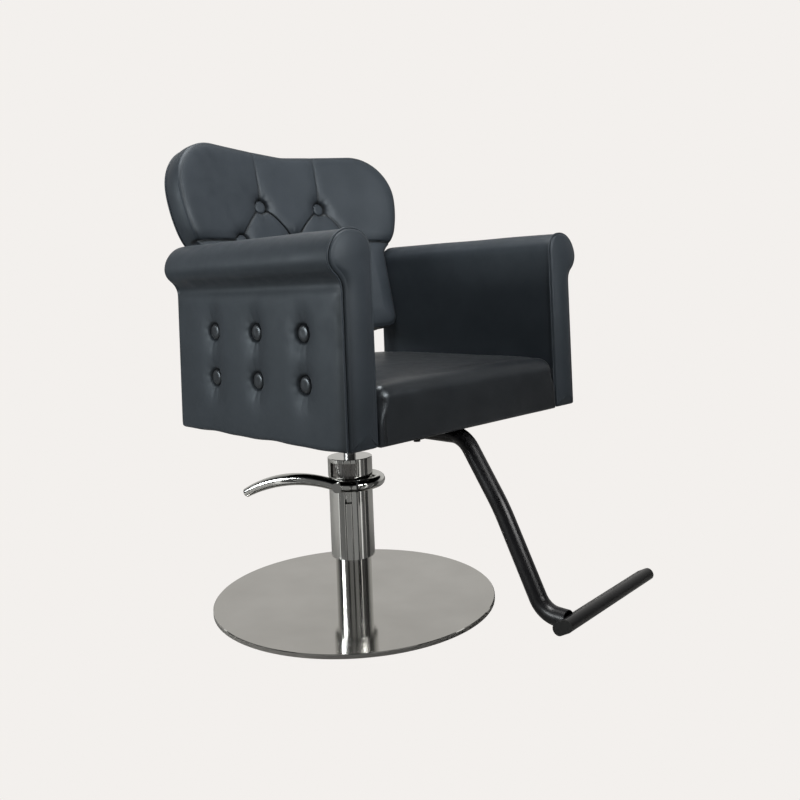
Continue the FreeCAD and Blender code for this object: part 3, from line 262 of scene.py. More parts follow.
vinyl = make_vinyl("black_vinyl", (0.0140, 0.0180, 0.0225), (0.0185, 0.0230, 0.0285), 0.48, 0.60, 0.32)
# a darker copy of the same vinyl; its darker colour is painted shade, used on the seat and the arm buttons
painted_shade_vinyl = make_vinyl("painted_shade_vinyl", (0.0062, 0.0072, 0.0088), (0.0090, 0.0104, 0.0124), 0.32, 0.42, 0.55)
thread = make_thread()
FINISHES = {
    "vinyl": vinyl,
    "chrome": make_chrome(),
    "stainless": make_stainless(),
    "black_steel": make_paint(),
    "black_plastic": make_moulded("black_plastic_caps", (0.004,) * 3, (0.007,) * 3, 0.42),
    "rubber": make_moulded("black_rubber", (0.012,) * 3, (0.022,) * 3, 0.6),
    "nylon": make_moulded("black_nylon", (0.02,) * 3, (0.03,) * 3, 0.4),
    "steel": make_metal("turned_steel", (0.30, 0.30, 0.30), (0.42, 0.42, 0.42), 0.22, (1, 1, 6)),
    "zinc": make_metal("zinc_plate", (0.42, 0.42, 0.40), (0.55, 0.55, 0.52), 0.28),
    "casting": make_metal("ground_casting", (0.22, 0.21, 0.20), (0.33, 0.32, 0.31), 0.2, (1, 1, 0.1)),
    "bronze": make_metal("sintered_bronze", (0.40, 0.26, 0.12), (0.52, 0.36, 0.18), 0.35),
    "wood": make_wood("raw_beech", (0.36, 0.24, 0.13), (0.52, 0.38, 0.23), (0.15, 1, 1)),
    "plywood": make_wood("raw_plywood", (0.42, 0.30, 0.17), (0.58, 0.45, 0.29), (1, 0.15, 1)),
    "cloth": make_cloth(),
}


def dress_frame():
    """Give every CAD node the finish that its slot names."""
    for part in frame["record"]["subparts"]:
        mesh = frame["nodes"][part["node"]].data
        mesh.materials.clear()
        mesh.materials.append(FINISHES[part["material_slot"]])


# ---------------------------------------------------------------- mesh helpers


def keep(name, mesh, finish, body=CHAIR, replaces=(), smooth=True):
    """Put a finished mesh into the scene as a piece of a body."""
    mesh.materials.clear()
    mesh.materials.append(finish)
    mesh.polygons.foreach_set("use_smooth", [smooth] * len(mesh.polygons))
    piece = bpy.data.objects.new(name, mesh)
    bpy.context.scene.collection.objects.link(piece)
    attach(piece, body)
    if replaces:
        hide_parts(*replaces)
    return piece


def cleaned(mesh, merge=0.00002):
    """Merge doubled points and turn every face outwards."""
    work = bmesh.new()
    work.from_mesh(mesh)
    bmesh.ops.remove_doubles(work, verts=work.verts, dist=merge)
    bmesh.ops.dissolve_degenerate(work, edges=work.edges, dist=merge / 2)
    bmesh.ops.recalc_face_normals(work, faces=work.faces)
    work.to_mesh(mesh)
    work.free()
    return mesh


def loops_mesh(name, rings):
    """Closed skin through a stack of closed rings; the end rings close on themselves."""
    rings = np.asarray(rings, float)
    count, around = rings.shape[:2]
    index = np.arange(count * around).reshape(count, around)
    low, high = index[:-1], index[1:]
    faces = np.stack([low, np.roll(low, -1, 1), np.roll(high, -1, 1), high], -1).reshape(-1, 4)
    mesh = bpy.data.meshes.new(name)
    mesh.from_pydata(rings.reshape(-1, 3).tolist(), [], faces.tolist())
    return cleaned(mesh)


def mark_painted_shade(mesh, measure):
    """Store how much painted shade each point gets, from a rule on its place, in its crease attribute."""
    places = np.empty(len(mesh.vertices) * 3)
    mesh.vertices.foreach_get("co", places)
    values = np.clip(measure(places.reshape(-1, 3)), 0, 1)
    mesh.attributes.new("crease", "FLOAT", "POINT").data.foreach_set("value", values)
    return mesh


def joined(name, meshes):
    work = bmesh.new()
    for mesh in meshes:
        work.from_mesh(mesh)
        bpy.data.meshes.remove(mesh)
    made = bpy.data.meshes.new(name)
    work.to_mesh(made)
    work.free()
    return made


def straight(start, end, steps=40):
    share = np.linspace(0, 1, steps, endpoint=False)[:, None]
    return np.array(start) + (np.array(end) - np.array(start)) * share


def arc(start, through, end, steps=60):
    """Points along the circle through three places, without the last."""
    a, b, c = (np.array(p, float) for p in (start, through, end))
    m = np.array([b - a, c - b])
    rhs = np.array([(b @ b - a @ a) / 2, (c @ c - b @ b) / 2])
    centre = np.linalg.solve(m, rhs)
    radius = np.linalg.norm(a - centre)
    angles = [math.atan2(*(p - centre)[::-1]) for p in (a, b, c)]
    turn = 2 * math.pi
    sweep = (angles[2] - angles[0]) % turn
    if (angles[1] - angles[0]) % turn > sweep:
        sweep -= turn
    at = angles[0] + sweep * np.linspace(0, 1, steps, endpoint=False)
    return centre + radius * np.stack([np.cos(at), np.sin(at)], -1)


def evenly(points, count, closed=True):
    """The same line with evenly spaced points."""
    line = np.vstack([points, points[:1]]) if closed else np.asarray(points)
    lengths = np.linalg.norm(np.diff(line, axis=0), axis=1)
    along = np.concatenate([[0], np.cumsum(lengths)])
    wanted = np.linspace(0, along[-1], count, endpoint=not closed)
    return np.stack([np.interp(wanted, along, line[:, k]) for k in range(line.shape[1])], -1)


def outward(loop):
    """Unit normals of a closed loop in its plane, pointing out of it."""
    ahead = np.roll(loop, -1, 0) - np.roll(loop, 1, 0)
    ahead /= np.linalg.norm(ahead, axis=1)[:, None]
    normal = np.stack([ahead[:, 1], -ahead[:, 0]], -1)
    area = np.sum(loop[:, 0] * np.roll(loop[:, 1], -1) - np.roll(loop[:, 0], -1) * loop[:, 1])
    return normal if area > 0 else -normal


def smooth_step(value, low, high):
    share = np.clip((value - low) / (high - low), 0, 1)
    return share * share * (3 - 2 * share)


def waves(x, y, seed, scale):
    """Gentle uneven swell between about -1 and 1, the same on every run."""
    rng = np.random.default_rng(seed)
    total = np.zeros_like(x)
    for octave in range(5):
        angle, phase = rng.uniform(0, 2 * math.pi, 2)
        pitch = 2 * math.pi / scale * rng.uniform(0.6, 1.7)
        total = total + np.sin((x * math.cos(angle) + y * math.sin(angle)) * pitch + phase)
    return total / 3


# ---------------------------------------------------------------- arms

arm_low, arm_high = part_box("arm_pad_left")
ARM_INNER = arm_low.x
ARM_EDGE = arm_high.x
ARM_BOTTOM = arm_low.z
ARM_TOP = arm_high.z
ARM_REAR = arm_high.y
ARM_SEAM = arm_low.y
ARM_OUTER = ARM_INNER + 64 * MM
ARM_NECK = ARM_BOTTOM + 261 * MM
ARM_ROLL = ARM_BOTTOM + 311 * MM
ARM_CROWN = ARM_INNER + 36 * MM
ROLL_MIDDLE = ARM_INNER + 47 * MM
button_low, button_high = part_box("arm_buttons_left")
ARM_BUTTON = 14.8 * MM


def arm_outline(count):
    """Section of an arm with its rolled top, anticlockwise from the inner foot."""
    slope = math.sqrt(0.5)
    rise = ARM_CROWN - ARM_INNER
    shoulder = ARM_TOP - rise
    reach = ARM_EDGE - ARM_CROWN
    drop = ARM_ROLL - ARM_NECK
    throat = (ARM_OUTER + (ARM_EDGE - ARM_OUTER) * 0.45, ARM_ROLL - drop * 0.54)
    neck = (ARM_OUTER, ARM_NECK)
    parts = [
        straight((ARM_INNER, ARM_BOTTOM), (ARM_INNER, shoulder), 200),
        arc((ARM_INNER, shoulder), (ARM_CROWN - rise * slope, shoulder + rise * slope),
            (ARM_CROWN, ARM_TOP)),
        arc((ARM_CROWN, ARM_TOP),
            (ARM_CROWN + reach * 0.74, ARM_ROLL + (ARM_TOP - ARM_ROLL) * 0.70),
            (ARM_EDGE, ARM_ROLL)),
        arc((ARM_EDGE, ARM_ROLL), (ARM_EDGE - 5 * MM, ARM_ROLL - drop * 0.34), throat),
        arc(throat, (ARM_OUTER + 3 * MM, ARM_NECK + drop * 0.22), neck),
        straight(neck, (ARM_OUTER, ARM_BOTTOM), 200),
        straight((ARM_OUTER, ARM_BOTTOM), (ARM_INNER, ARM_BOTTOM), 40),
    ]
    loop = evenly(np.vstack(parts), count)
    for _ in range(6):
        loop = (np.roll(loop, 1, 0) + loop * 2 + np.roll(loop, -1, 0)) / 4
    return loop


def arm_spine(loop):
    """The middle line that an end panel closes on."""
    z = np.clip(loop[:, 1], ARM_BOTTOM + 30 * MM, ARM_ROLL - 4 * MM)
    rise = smooth_step(z, ARM_NECK - 20 * MM, ARM_ROLL)
    x = (ARM_INNER + ARM_OUTER) / 2 + (ROLL_MIDDLE - (ARM_INNER + ARM_OUTER) / 2) * rise
    return np.stack([x, z], -1)


def arm_button_places():
    radius = 14 * MM
    for y in np.linspace(button_low.y + radius, button_high.y - radius, 3):
        for z in (button_low.z + radius, button_high.z - radius):
            yield y, z


def arm_dimples(y, z):
    """How far the outer face is drawn in round the buttons, with vertical pulls."""
    pull = np.zeros_like(y)
    for place_y, place_z in arm_button_places():
        across = y - place_y
        up = z - place_z
        far = np.hypot(across, up)
        pull += 8.5 * MM * np.exp(-(across / (24 * MM)) ** 2 - (up / (36 * MM)) ** 2)
        pull += 5.5 * MM * (1 - smooth_step(far, 14.5 * MM, 19 * MM))
        angle = np.arctan2(up, across)
        ridge = np.cos(angle * 9 + place_y * 40 + place_z * 60) * np.exp(
            -((far - 20 * MM) / (7 * MM)) ** 2)
        pull += 0.3 * MM * ridge
        for side in (-1, 1):
            bend = across - side * (5 * MM + 0.10 * np.abs(up))
            fade = np.exp(-((np.abs(up) - 24 * MM) / (15 * MM)) ** 2)
            pull += 1.1 * MM * np.exp(-(bend / (2.6 * MM)) ** 2) * fade
    return pull


def arm_painted_shade(places):
    """Painted shade in the gaps round the arm's buttons and at its front seam, in the hollow beside that
    seam, in the neck under the roll, and above and behind each button.
    """
    x, y, z = places.T
    outer = smooth_step(np.abs(x), ARM_OUTER - 16 * MM, ARM_OUTER - 8 * MM)
    dark = np.exp(-((y - ARM_SEAM) / (2.4 * MM)) ** 2)
    # painted shade in the hollow beside the front seam and in the neck under the roll
    painted_hollow_shade = outer * (1 - smooth_step(z, ARM_NECK - 4 * MM, ARM_NECK + 12 * MM))
    dark += 0.75 * painted_hollow_shade * np.exp(-((y - ARM_SEAM - 6 * MM) / (13 * MM)) ** 2)
    dark += 0.28 * outer * np.exp(-((z - ARM_NECK - 8 * MM) / (9 * MM)) ** 2)
    for place_y, place_z in arm_button_places():
        far = np.hypot(y - place_y, z - place_z)
        dark += outer * (1 - smooth_step(far, ARM_BUTTON + 0.5 * MM, ARM_BUTTON + 4 * MM))
        # painted shade above and behind each button, off its centre
        shade = np.hypot(y - place_y - 7 * MM, z - place_z - 9 * MM)
        dark += 0.45 * outer * np.exp(-(shade / (17 * MM)) ** 2)
    return dark


def arm_rings(loop, side):
    """Rings of the padded body from its front seam to its rear end."""
    normal = outward(loop)
    spine = arm_spine(loop)
    outer_side = smooth_step(normal[:, 0], 0.75, 0.98) * smooth_step(
        ARM_NECK - loop[:, 1], -4 * MM, 22 * MM)
    inner_side = smooth_step(-normal[:, 0], 0.8, 0.98)
    over = (loop[:, 1] - ARM_NECK - 9 * MM) / (11 * MM)
    roll_groove = 4.5 * MM * np.exp(-over ** 2) * (loop[:, 0] > ARM_CROWN)
    length = ARM_REAR - ARM_SEAM
    rings = []

    def ring(points, y):
        low = 1 - smooth_step(points[:, 1], ARM_BOTTOM, ARM_BOTTOM + 34 * MM)
        tuck = max(0.0, 14 * MM - (ARM_REAR - y))
        corner = 14 * MM - math.sqrt(max((14 * MM) ** 2 - min(tuck, 14 * MM) ** 2, 0))
        sag = 0.9 * MM * math.sin(y * 34 + 1) + 0.5 * MM * math.sin(y * 71)
        z = points[:, 1] + low * (0.75 * corner + sag - 0.9 * MM)
        rings.append(np.stack([points[:, 0] * side, np.broadcast_to(y, len(loop)), z], -1))

    for share in np.linspace(0, 1, 14):
        ring(spine + (loop - normal * 3 * MM - spine) * share, ARM_SEAM + 0.4 * MM)
    round_off = 9 * MM
    stations = np.concatenate([
        ARM_SEAM + np.array([0.6, 1.6, 3.2, 5.5]) * MM,
        np.linspace(ARM_SEAM + 8 * MM, ARM_REAR - round_off, 150)])
    for y in stations:
        ends = min(y - ARM_SEAM, ARM_REAR - y)
        soft = -2.2 * MM * math.exp(-ends / (6 * MM))
        crown = 2.0 * MM * math.sin(math.pi * (y - ARM_SEAM) / length) ** 0.5 if ends > 0 else 0
        out = np.full(len(loop), soft)
        valley = 2.0 * MM * math.exp(-((y - ARM_SEAM - 4 * MM) / (9 * MM)) ** 2)
        out += outer_side * (crown - valley - arm_dimples(np.full(len(loop), y), loop[:, 1]))
        out -= roll_groove
        out += inner_side * 1.2 * MM * math.sin(math.pi * (y - ARM_SEAM) / length)
        out += 0.35 * MM * waves(np.full(len(loop), y), loop[:, 1] + loop[:, 0], 7 + side, 0.16)
        out = np.where(loop[:, 1] < ARM_BOTTOM + 1 * MM, np.minimum(out, 0), out)
        ring(loop + normal * out[:, None], y)
    for turn in np.linspace(0.15, 1, 7) * math.pi / 2:
        inset = round_off * (1 - math.cos(turn)) + 1.2 * MM
        ring(loop - normal * inset, ARM_REAR - round_off + round_off * math.sin(turn))
    edge = loop - normal * (round_off + 1.2 * MM)
    for share in np.linspace(0.97, 0, 24):
        puff = 2.5 * MM * math.sqrt(max(0, 1 - share * share))
        ring(spine + (edge - spine) * share, ARM_REAR + puff)
    return rings


def front_panel_rings(loop, side):
    """Rings of the stuffed panel that closes an arm's front."""
    normal = outward(loop)
    spine = arm_spine(loop)
    lift = 7 * MM
    rings = []

    def ring(points, y):
        depth = np.full(len(loop), y)
        rings.append(np.stack([points[:, 0] * side, depth, points[:, 1]], -1))

    for share in np.linspace(0, 1, 12):
        ring(spine + (loop - normal * 2 * MM - spine) * share, ARM_SEAM - 0.3 * MM)
    for turn in np.linspace(0, 1, 9) * math.pi / 2:
        inset = lift * (1 - math.cos(turn)) + 1.2 * MM
        ring(loop - normal * inset, ARM_SEAM - 0.6 * MM - lift * 0.86 * math.sin(turn))
    edge = loop - normal * (lift + 1.2 * MM)
    face = ARM_SEAM - 0.6 * MM - lift * 0.86
    for share in np.linspace(0.98, 0, 40):
        puff = 5.0 * MM * (1 - share ** 2.2)
        ring(spine + (edge - spine) * share, face - puff)
    return rings


def piping_mesh(name, path, radius, sides=10):
    """Round welt along an open or closed line of points."""
    path = np.asarray(path)
    ahead = np.gradient(path, axis=0)
    ahead /= np.linalg.norm(ahead, axis=1)[:, None]
    rings = []
    across = np.cross(ahead[0], (0.0, 1.0, 0.0))
    for point, direction in zip(path, ahead):
        across = across - direction * (across @ direction)
        across /= np.linalg.norm(across)
        up = np.cross(direction, across)
        turn = np.linspace(0, 2 * math.pi, sides, endpoint=False)
        rings.append(point + radius * (np.outer(np.cos(turn), across) + np.outer(np.sin(turn), up)))
    rings.insert(0, np.repeat(path[:1], sides, 0))
    rings.append(np.repeat(path[-1:], sides, 0))
    return loops_mesh(name, rings)


def covered_button(place, facing, radius, height, seed):
    """Domed button with its cover gathered under the rim."""
    profile = ((0.0, 0.86), (0.25, 0.87), (0.45, 0.88), (0.62, 0.86), (0.76, 0.78), (0.87, 0.62),
               (0.95, 0.38), (1.0, 0.08), (0.99, -0.2), (0.93, -0.45), (0.8, -0.6), (0.0, -0.6))
    turn = np.linspace(0, 2 * math.pi, 56, endpoint=False)
    facing = np.array(facing, float)
    across = np.cross(facing, (0.0, 0.0, 1.0))
    across /= np.linalg.norm(across)
    up = np.cross(across, facing)
    rings = []
    for share, lift in profile:
        ripple = 1 + 0.012 * np.sin(turn * 11 + seed) * smooth_step(np.array(share), 0.7, 1.0)
        spread = radius * share * ripple
        ring = (np.outer(np.cos(turn) * spread, across) + np.outer(np.sin(turn) * spread, up)
                + facing * height * lift + np.array(place))
        rings.append(ring)
    return loops_mesh("button", rings)


def make_arms():
    loop = arm_outline(330)
    for word, side in (("left", 1), ("right", -1)):
        mesh = mark_painted_shade(loops_mesh("arm", arm_rings(loop, side)), arm_painted_shade)
        pad = keep(f"arm_upholstery_{word}", mesh, vinyl, replaces=(f"arm_pad_{word}",))
        mesh = mark_painted_shade(loops_mesh("facing", front_panel_rings(loop, side)), arm_painted_shade)
        panel = keep(f"arm_facing_{word}", mesh, vinyl, replaces=(f"arm_front_panel_{word}",))
        open_line = loop[(loop[:, 1] > ARM_BOTTOM + 2 * MM)]
        gap = int(np.argmax(np.linalg.norm(open_line - np.roll(open_line, 1, 0), axis=1)))
        open_line = np.roll(open_line, -gap, 0)
        line = np.stack([open_line[:, 0] * side, np.full(len(open_line), ARM_SEAM - 0.4 * MM),
                         open_line[:, 1]], -1)
        keep(f"arm_welt_{word}", piping_mesh("welt", line, 1.9 * MM), vinyl)
        buttons = []
        for number, (y, z) in enumerate(arm_button_places()):
            place = ((ARM_OUTER - 8.5 * MM) * side, y, z)
            buttons.append(covered_button(place, (side, 0, 0), ARM_BUTTON, 5.5 * MM, number))
        # the arm buttons take the darker copy of the vinyl, whose colour is painted shade
        keep(f"arm_side_buttons_{word}", joined("buttons", buttons), painted_shade_vinyl,
             replaces=(f"arm_buttons_{word}",))


# ---------------------------------------------------------------- back

back_low, back_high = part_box("back_cushion")
BACK_HALF = back_high.x
BACK_LEAN = math.radians(11.86)
PIVOT = np.array([0, 131, 860]) * MM
HOLLOW = 41 * MM
BACK_RADIUS = (BACK_HALF ** 2 + HOLLOW ** 2) / (2 * HOLLOW)
BACK_CENTRE = PIVOT[1] + HOLLOW - BACK_RADIUS
COVER_DEPTH = 52 * MM
BACK_BOTTOM = 562 * MM
LOBE = np.array([188, 983]) * MM
VALLEY = 972 * MM
WAIST = np.array([272, 764]) * MM
WIDEST = 872 * MM
LOW_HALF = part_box("seat_cushion")[1].x
STAR = np.array([0, 770]) * MM
UPPER_TUFT = np.array([83, 852]) * MM
LOWER_TUFT = np.array([151, 772]) * MM
MIDDLE_TUFT = np.array([0, 772]) * MM


def on_back(x, depth, z):
    """Room points for places on the back: x across, depth behind its face, z along it."""
    y = np.sqrt((BACK_RADIUS + depth) ** 2 - x ** 2) + BACK_CENTRE - PIVOT[1]
    up = z - PIVOT[2]
    return np.stack([x, PIVOT[1] + y * math.cos(BACK_LEAN) + up * math.sin(BACK_LEAN),
                     PIVOT[2] - y * math.sin(BACK_LEAN) + up * math.cos(BACK_LEAN)], -1)


def back_outline(count):
    """Front view of the back, anticlockwise from the middle of its lower edge."""
    corner = 24 * MM
    cut = corner * (1 - math.sqrt(0.5))
    straight_top = 742 * MM
    lobe_x, lobe_z = LOBE
    half = np.vstack([
        straight((0, BACK_BOTTOM), (LOW_HALF - corner, BACK_BOTTOM), 80),
        arc((LOW_HALF - corner, BACK_BOTTOM), (LOW_HALF - cut, BACK_BOTTOM + cut),
            (LOW_HALF, BACK_BOTTOM + corner)),
        straight((LOW_HALF, BACK_BOTTOM + corner), (LOW_HALF, straight_top), 80),
        arc((LOW_HALF, straight_top),
            (LOW_HALF + (WAIST[0] - LOW_HALF) * 0.35, (straight_top + WAIST[1]) / 2), WAIST),
        arc(WAIST, (BACK_HALF - 7 * MM, WAIST[1] + (WIDEST - WAIST[1]) * 0.55), (BACK_HALF, WIDEST)),
        arc((BACK_HALF, WIDEST),
            (lobe_x + (BACK_HALF - lobe_x) * 0.72, WIDEST + (lobe_z - WIDEST) * 0.74), LOBE),
        arc(LOBE, (lobe_x * 0.55, lobe_z - (lobe_z - VALLEY) * 0.38), (0, VALLEY)),
    ])
    other = half[::-1] * np.array([-1, 1])
    loop = evenly(np.vstack([half, [[0, VALLEY]], other[:-1]]), count)
    for _ in range(5):
        loop = (np.roll(loop, 1, 0) + loop * 2 + np.roll(loop, -1, 0)) / 4
    stuffed = 2.6 * MM * smooth_step(loop[:, 1], 750 * MM, 800 * MM)
    return loop + outward(loop) * stuffed[:, None]


def curve_between(start, bend, end, steps=90):
    """Soft bend from start to end drawn towards a third point."""
    t = np.linspace(0, 1, steps)[:, None]
    return (1 - t) ** 2 * start + 2 * t * (1 - t) * bend + t ** 2 * end


def pleat_lines():
    """Every pleat of the back as (points, strength along them)."""
    lines = []
    for side in (-1, 1):
        flip = np.array([side, 1])
        upper = UPPER_TUFT * flip
        lower = LOWER_TUFT * flip
        top = np.array([86 * MM * side, LOBE[1] + 5 * MM])
        lines.append((curve_between(upper, (upper + top) / 2, top), 1.0, 0.15))
        outer_bend = (upper + lower) / 2 + np.array([6 * side, 12]) * MM
        lines.append((curve_between(upper, outer_bend, lower), 1.0, 1.0))
        inner_bend = (upper + MIDDLE_TUFT) / 2 + np.array([-6 * side, 12]) * MM
        lines.append((curve_between(upper, inner_bend, MIDDLE_TUFT), 1.0, 1.0))
        fold_end = np.array([(WAIST[0] + 6 * MM) * side, WAIST[1] + 2 * MM])
        fold_bend = np.array([205 * MM * side, WAIST[1] + 8 * MM])
        lines.append((curve_between(lower, fold_bend, fold_end), 1.1, 1.7))
        low_end = lower + np.array([4 * side, -95]) * MM
        lines.append((curve_between(lower, (lower + low_end) / 2, low_end), 1.0, 0.0))
    low_end = MIDDLE_TUFT + np.array([0, -95]) * MM
    lines.append((curve_between(MIDDLE_TUFT, (MIDDLE_TUFT + low_end) / 2, low_end), 1.0, 0.0))
    return lines


def pleat_field(x, z):
    """Distance to the nearest pleat and that pleat's strength there."""
    points = []
    strengths = []
    for line, first, last in pleat_lines():
        points.append(line)
        strengths.append(np.linspace(first, last, len(line)))
    points = np.vstack(points)
    strengths = np.concatenate(strengths)
    tree = KDTree(len(points))
    for number, point in enumerate(points):
        tree.insert((point[0], point[1], 0), number)
    tree.balance()
    far = np.empty(len(x))
    strong = np.empty(len(x))
    for number, (px, pz) in enumerate(zip(x, z)):
        place, found, distance = tree.find((px, pz, 0))
        far[number] = distance
        strong[number] = strengths[found]
    return far, strong


def edge_distance(x, z, loop):
    tree = KDTree(len(loop))
    for number, point in enumerate(loop):
        tree.insert((point[0], point[1], 0), number)
    tree.balance()
    return np.array([tree.find((px, pz, 0))[2] for px, pz in zip(x, z)])


def back_tufts():
    for side in (-1, 1):
        yield UPPER_TUFT * np.array([side, 1])
        yield LOWER_TUFT * np.array([side, 1])
    yield MIDDLE_TUFT


def tufted_depth(x, z, loop):
    """Depth behind the plain face: stuffed diamonds, pleats, tufts and lumbar swell."""
    edge = edge_distance(x, z, loop)
    depth = np.full(len(x), -6.0 * MM)
    depth += 8 * MM * np.exp(-edge / (8 * MM))
    depth += 4 * MM * np.exp(-edge / (45 * MM))
    far, strong = pleat_field(x, z)
    depth += strong * 2.6 * MM * np.exp(-(far / (13 * MM)) ** 2)
    depth += strong * 5.2 * MM * np.exp(-far / (1.6 * MM))
    for tuft in back_tufts():
        away = np.hypot(x - tuft[0], z - tuft[1])
        depth += 11 * MM * np.exp(-(away / (21 * MM)) ** 2)
        depth += 4 * MM * (1 - smooth_step(away, 13 * MM, 21 * MM))
        angle = np.arctan2(z - tuft[1], x - tuft[0])
        depth += 0.35 * MM * np.cos(angle * 10 + tuft[0] * 50) * np.exp(
            -((away - 22 * MM) / (8 * MM)) ** 2)
    lumbar = 7 * MM * np.exp(-((z - 655 * MM) / (75 * MM)) ** 2) * smooth_step(edge, 0, 45 * MM)
    depth -= lumbar
    depth += 0.5 * MM * waves(x, z, 3, 0.14) * smooth_step(edge, 0, 30 * MM)
    return depth


def back_rings(loop):
    normal = outward(loop)
    rays = loop - STAR
    shares = np.concatenate([np.linspace(0, 0.945, 122),
                             [0.957, 0.968, 0.978, 0.986, 0.992, 0.997, 1]])
    flat = STAR + rays[None] * shares[:, None, None]
    depth = tufted_depth(flat[..., 0].ravel(), flat[..., 1].ravel(), loop).reshape(flat.shape[:2])
    rings = [on_back(ring[:, 0], deep, ring[:, 1]) for ring, deep in zip(flat, depth)]
    seam = depth[-1]
    for share in np.linspace(0.04, 1, 14):
        deep = seam + (COVER_DEPTH - seam) * share
        bulge = 2.6 * MM * math.sin(math.pi * share) - 1.2 * MM * math.exp(-share * 30)
        wall = loop + normal * bulge
        rings.append(on_back(wall[:, 0], deep, wall[:, 1]))
    for share in np.linspace(0.98, 0, 7):
        ring = STAR + rays * share
        rings.append(on_back(ring[:, 0], np.full(len(loop), COVER_DEPTH - 0.2 * MM), ring[:, 1]))
    return rings


def back_painted_shade(places):
    """Painted shade in the back's pleats and round its buttons, and a dark line along its edge seam."""
    x, y, z = places.T
    across = y - PIVOT[1]
    up = z - PIVOT[2]
    upright_y = across * math.cos(BACK_LEAN) - up * math.sin(BACK_LEAN) + PIVOT[1]
    upright_z = across * math.sin(BACK_LEAN) + up * math.cos(BACK_LEAN) + PIVOT[2]
    depth = np.hypot(x, upright_y - BACK_CENTRE) - BACK_RADIUS
    front = 1 - smooth_step(depth, 24 * MM, 30 * MM)
    far, strong = pleat_field(x, upright_z)
    # painted shade along the pleats
    dark = 1.2 * strong * np.exp(-(far / (2.5 * MM)) ** 2)
    for tuft in back_tufts():
        away = np.hypot(x - tuft[0], upright_z - tuft[1])
        # painted shade in and round each button's dimple
        dark += 0.9 * (1 - smooth_step(away, 15 * MM, 19 * MM))
        dark += 0.55 * np.exp(-(away / (24 * MM)) ** 2)
    edge = edge_distance(x, upright_z, back_outline(560))
    dark += 0.6 * np.exp(-((edge - 5.5 * MM) / (1.5 * MM)) ** 2)
    return dark * front


def rear_cover_rings(loop):
    normal = outward(loop)
    rays = loop - normal * 3 * MM - STAR
    rings = []
    for share in np.linspace(0, 1, 26):
        ring = STAR + rays * share
        rings.append(on_back(ring[:, 0], np.full(len(loop), COVER_DEPTH + 0.2 * MM), ring[:, 1]))
    for share in np.concatenate([[0.995, 0.985, 0.97], np.linspace(0.95, 0, 60)]):
        ring = STAR + rays * share
        swell = 4.5 * MM * (1 - np.full(len(loop), share) ** 9)
        swell += 0.3 * MM * waves(ring[:, 0], ring[:, 1], 11, 0.2) * (1 - share)
        rings.append(on_back(ring[:, 0], COVER_DEPTH + 0.6 * MM + swell, ring[:, 1]))
    return rings


def closed_piping(name, path, radius, sides=10):
    """Round welt along a closed line."""
    ahead = np.roll(path, -1, 0) - np.roll(path, 1, 0)
    ahead /= np.linalg.norm(ahead, axis=1)[:, None]
    middle = path.mean(0)
    turn = np.linspace(0, 2 * math.pi, sides, endpoint=False)
    away = path - middle
    away -= ahead * np.sum(away * ahead, 1)[:, None]
    away /= np.linalg.norm(away, axis=1)[:, None]
    side = np.cross(ahead, away)
    rings = path[:, None] + radius * (np.cos(turn)[None, :, None] * away[:, None]
                                      + np.sin(turn)[None, :, None] * side[:, None])
    count = len(path)
    index = np.arange(count * sides).reshape(count, sides)
    ahead_index = np.roll(index, -1, 0)
    faces = np.stack([index, np.roll(index, -1, 1), np.roll(ahead_index, -1, 1), ahead_index], -1)
    mesh = bpy.data.meshes.new(name)
    mesh.from_pydata(rings.reshape(-1, 3).tolist(), [], faces.reshape(-1, 4).tolist())
    return cleaned(mesh)


def make_back():
    fine = back_outline(560)
    loop = back_outline(300)
    mesh = mark_painted_shade(loops_mesh("back", back_rings(fine)), back_painted_shade)
    pad = keep("back_upholstery", mesh, vinyl, replaces=("back_cushion",))
    cover = keep("back_outer_panel", loops_mesh("cover", rear_cover_rings(loop)), vinyl,
                 replaces=("back_rear_cover",))
    rim = loop + outward(loop) * 0.6 * MM
    line = on_back(rim[:, 0], np.full(len(loop), COVER_DEPTH), rim[:, 1])
    keep("back_rear_welt", closed_piping("welt", line, 2.2 * MM), vinyl)
    buttons = []
    for number, tuft in enumerate(back_tufts()):
        place = on_back(tuft[0], 9.5 * MM, tuft[1])
        inside = on_back(tuft[0], 30 * MM, tuft[1])
        facing = (place - inside) / np.linalg.norm(place - inside)
        buttons.append(covered_button(place, facing, 15 * MM, 6 * MM, number))
    keep("back_tuft_buttons", joined("buttons", buttons), vinyl, replaces=("back_buttons",))


# ---------------------------------------------------------------- seat

seat_low, seat_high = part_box("seat_cushion")
SEAT_SEAM = 12 * MM


def rounded_block(low, high, top_round, low_round, spacing):
    """Fine mesh of a block whose edges are rounded, more at the top than below."""
    low = np.array(low)
    high = np.array(high)
    counts = np.maximum(((high - low) / spacing).astype(int), 4)
    points = []
    faces = []
    for axis in range(3):
        first, second = [k for k in range(3) if k != axis]
        u = np.linspace(low[first], high[first], counts[first] + 1)
        v = np.linspace(low[second], high[second], counts[second] + 1)
        for level in (low[axis], high[axis]):
            grid = np.empty((len(u), len(v), 3))
            grid[..., first] = u[:, None]
            grid[..., second] = v[None, :]
            grid[..., axis] = level
            start = len(points) and sum(len(block) for block in points)
            index = np.arange(len(u) * len(v)).reshape(len(u), len(v)) + start
            points.append(grid.reshape(-1, 3))
            faces.append(np.stack([index[:-1, :-1], index[1:, :-1], index[1:, 1:],
                                   index[:-1, 1:]], -1).reshape(-1, 4))
    cloud = np.vstack(points)
    share = ((cloud[:, 2] - low[2]) / (high[2] - low[2]))[:, None]
    radius = low_round + (top_round - low_round) * smooth_step(share, 0.3, 0.75)
    inner = np.clip(cloud, low + radius, high - radius)
    away = cloud - inner
    length = np.linalg.norm(away, axis=1)[:, None]
    cloud = inner + away / np.maximum(length, 1e-9) * np.minimum(radius, length)
    return cloud, np.vstack(faces)


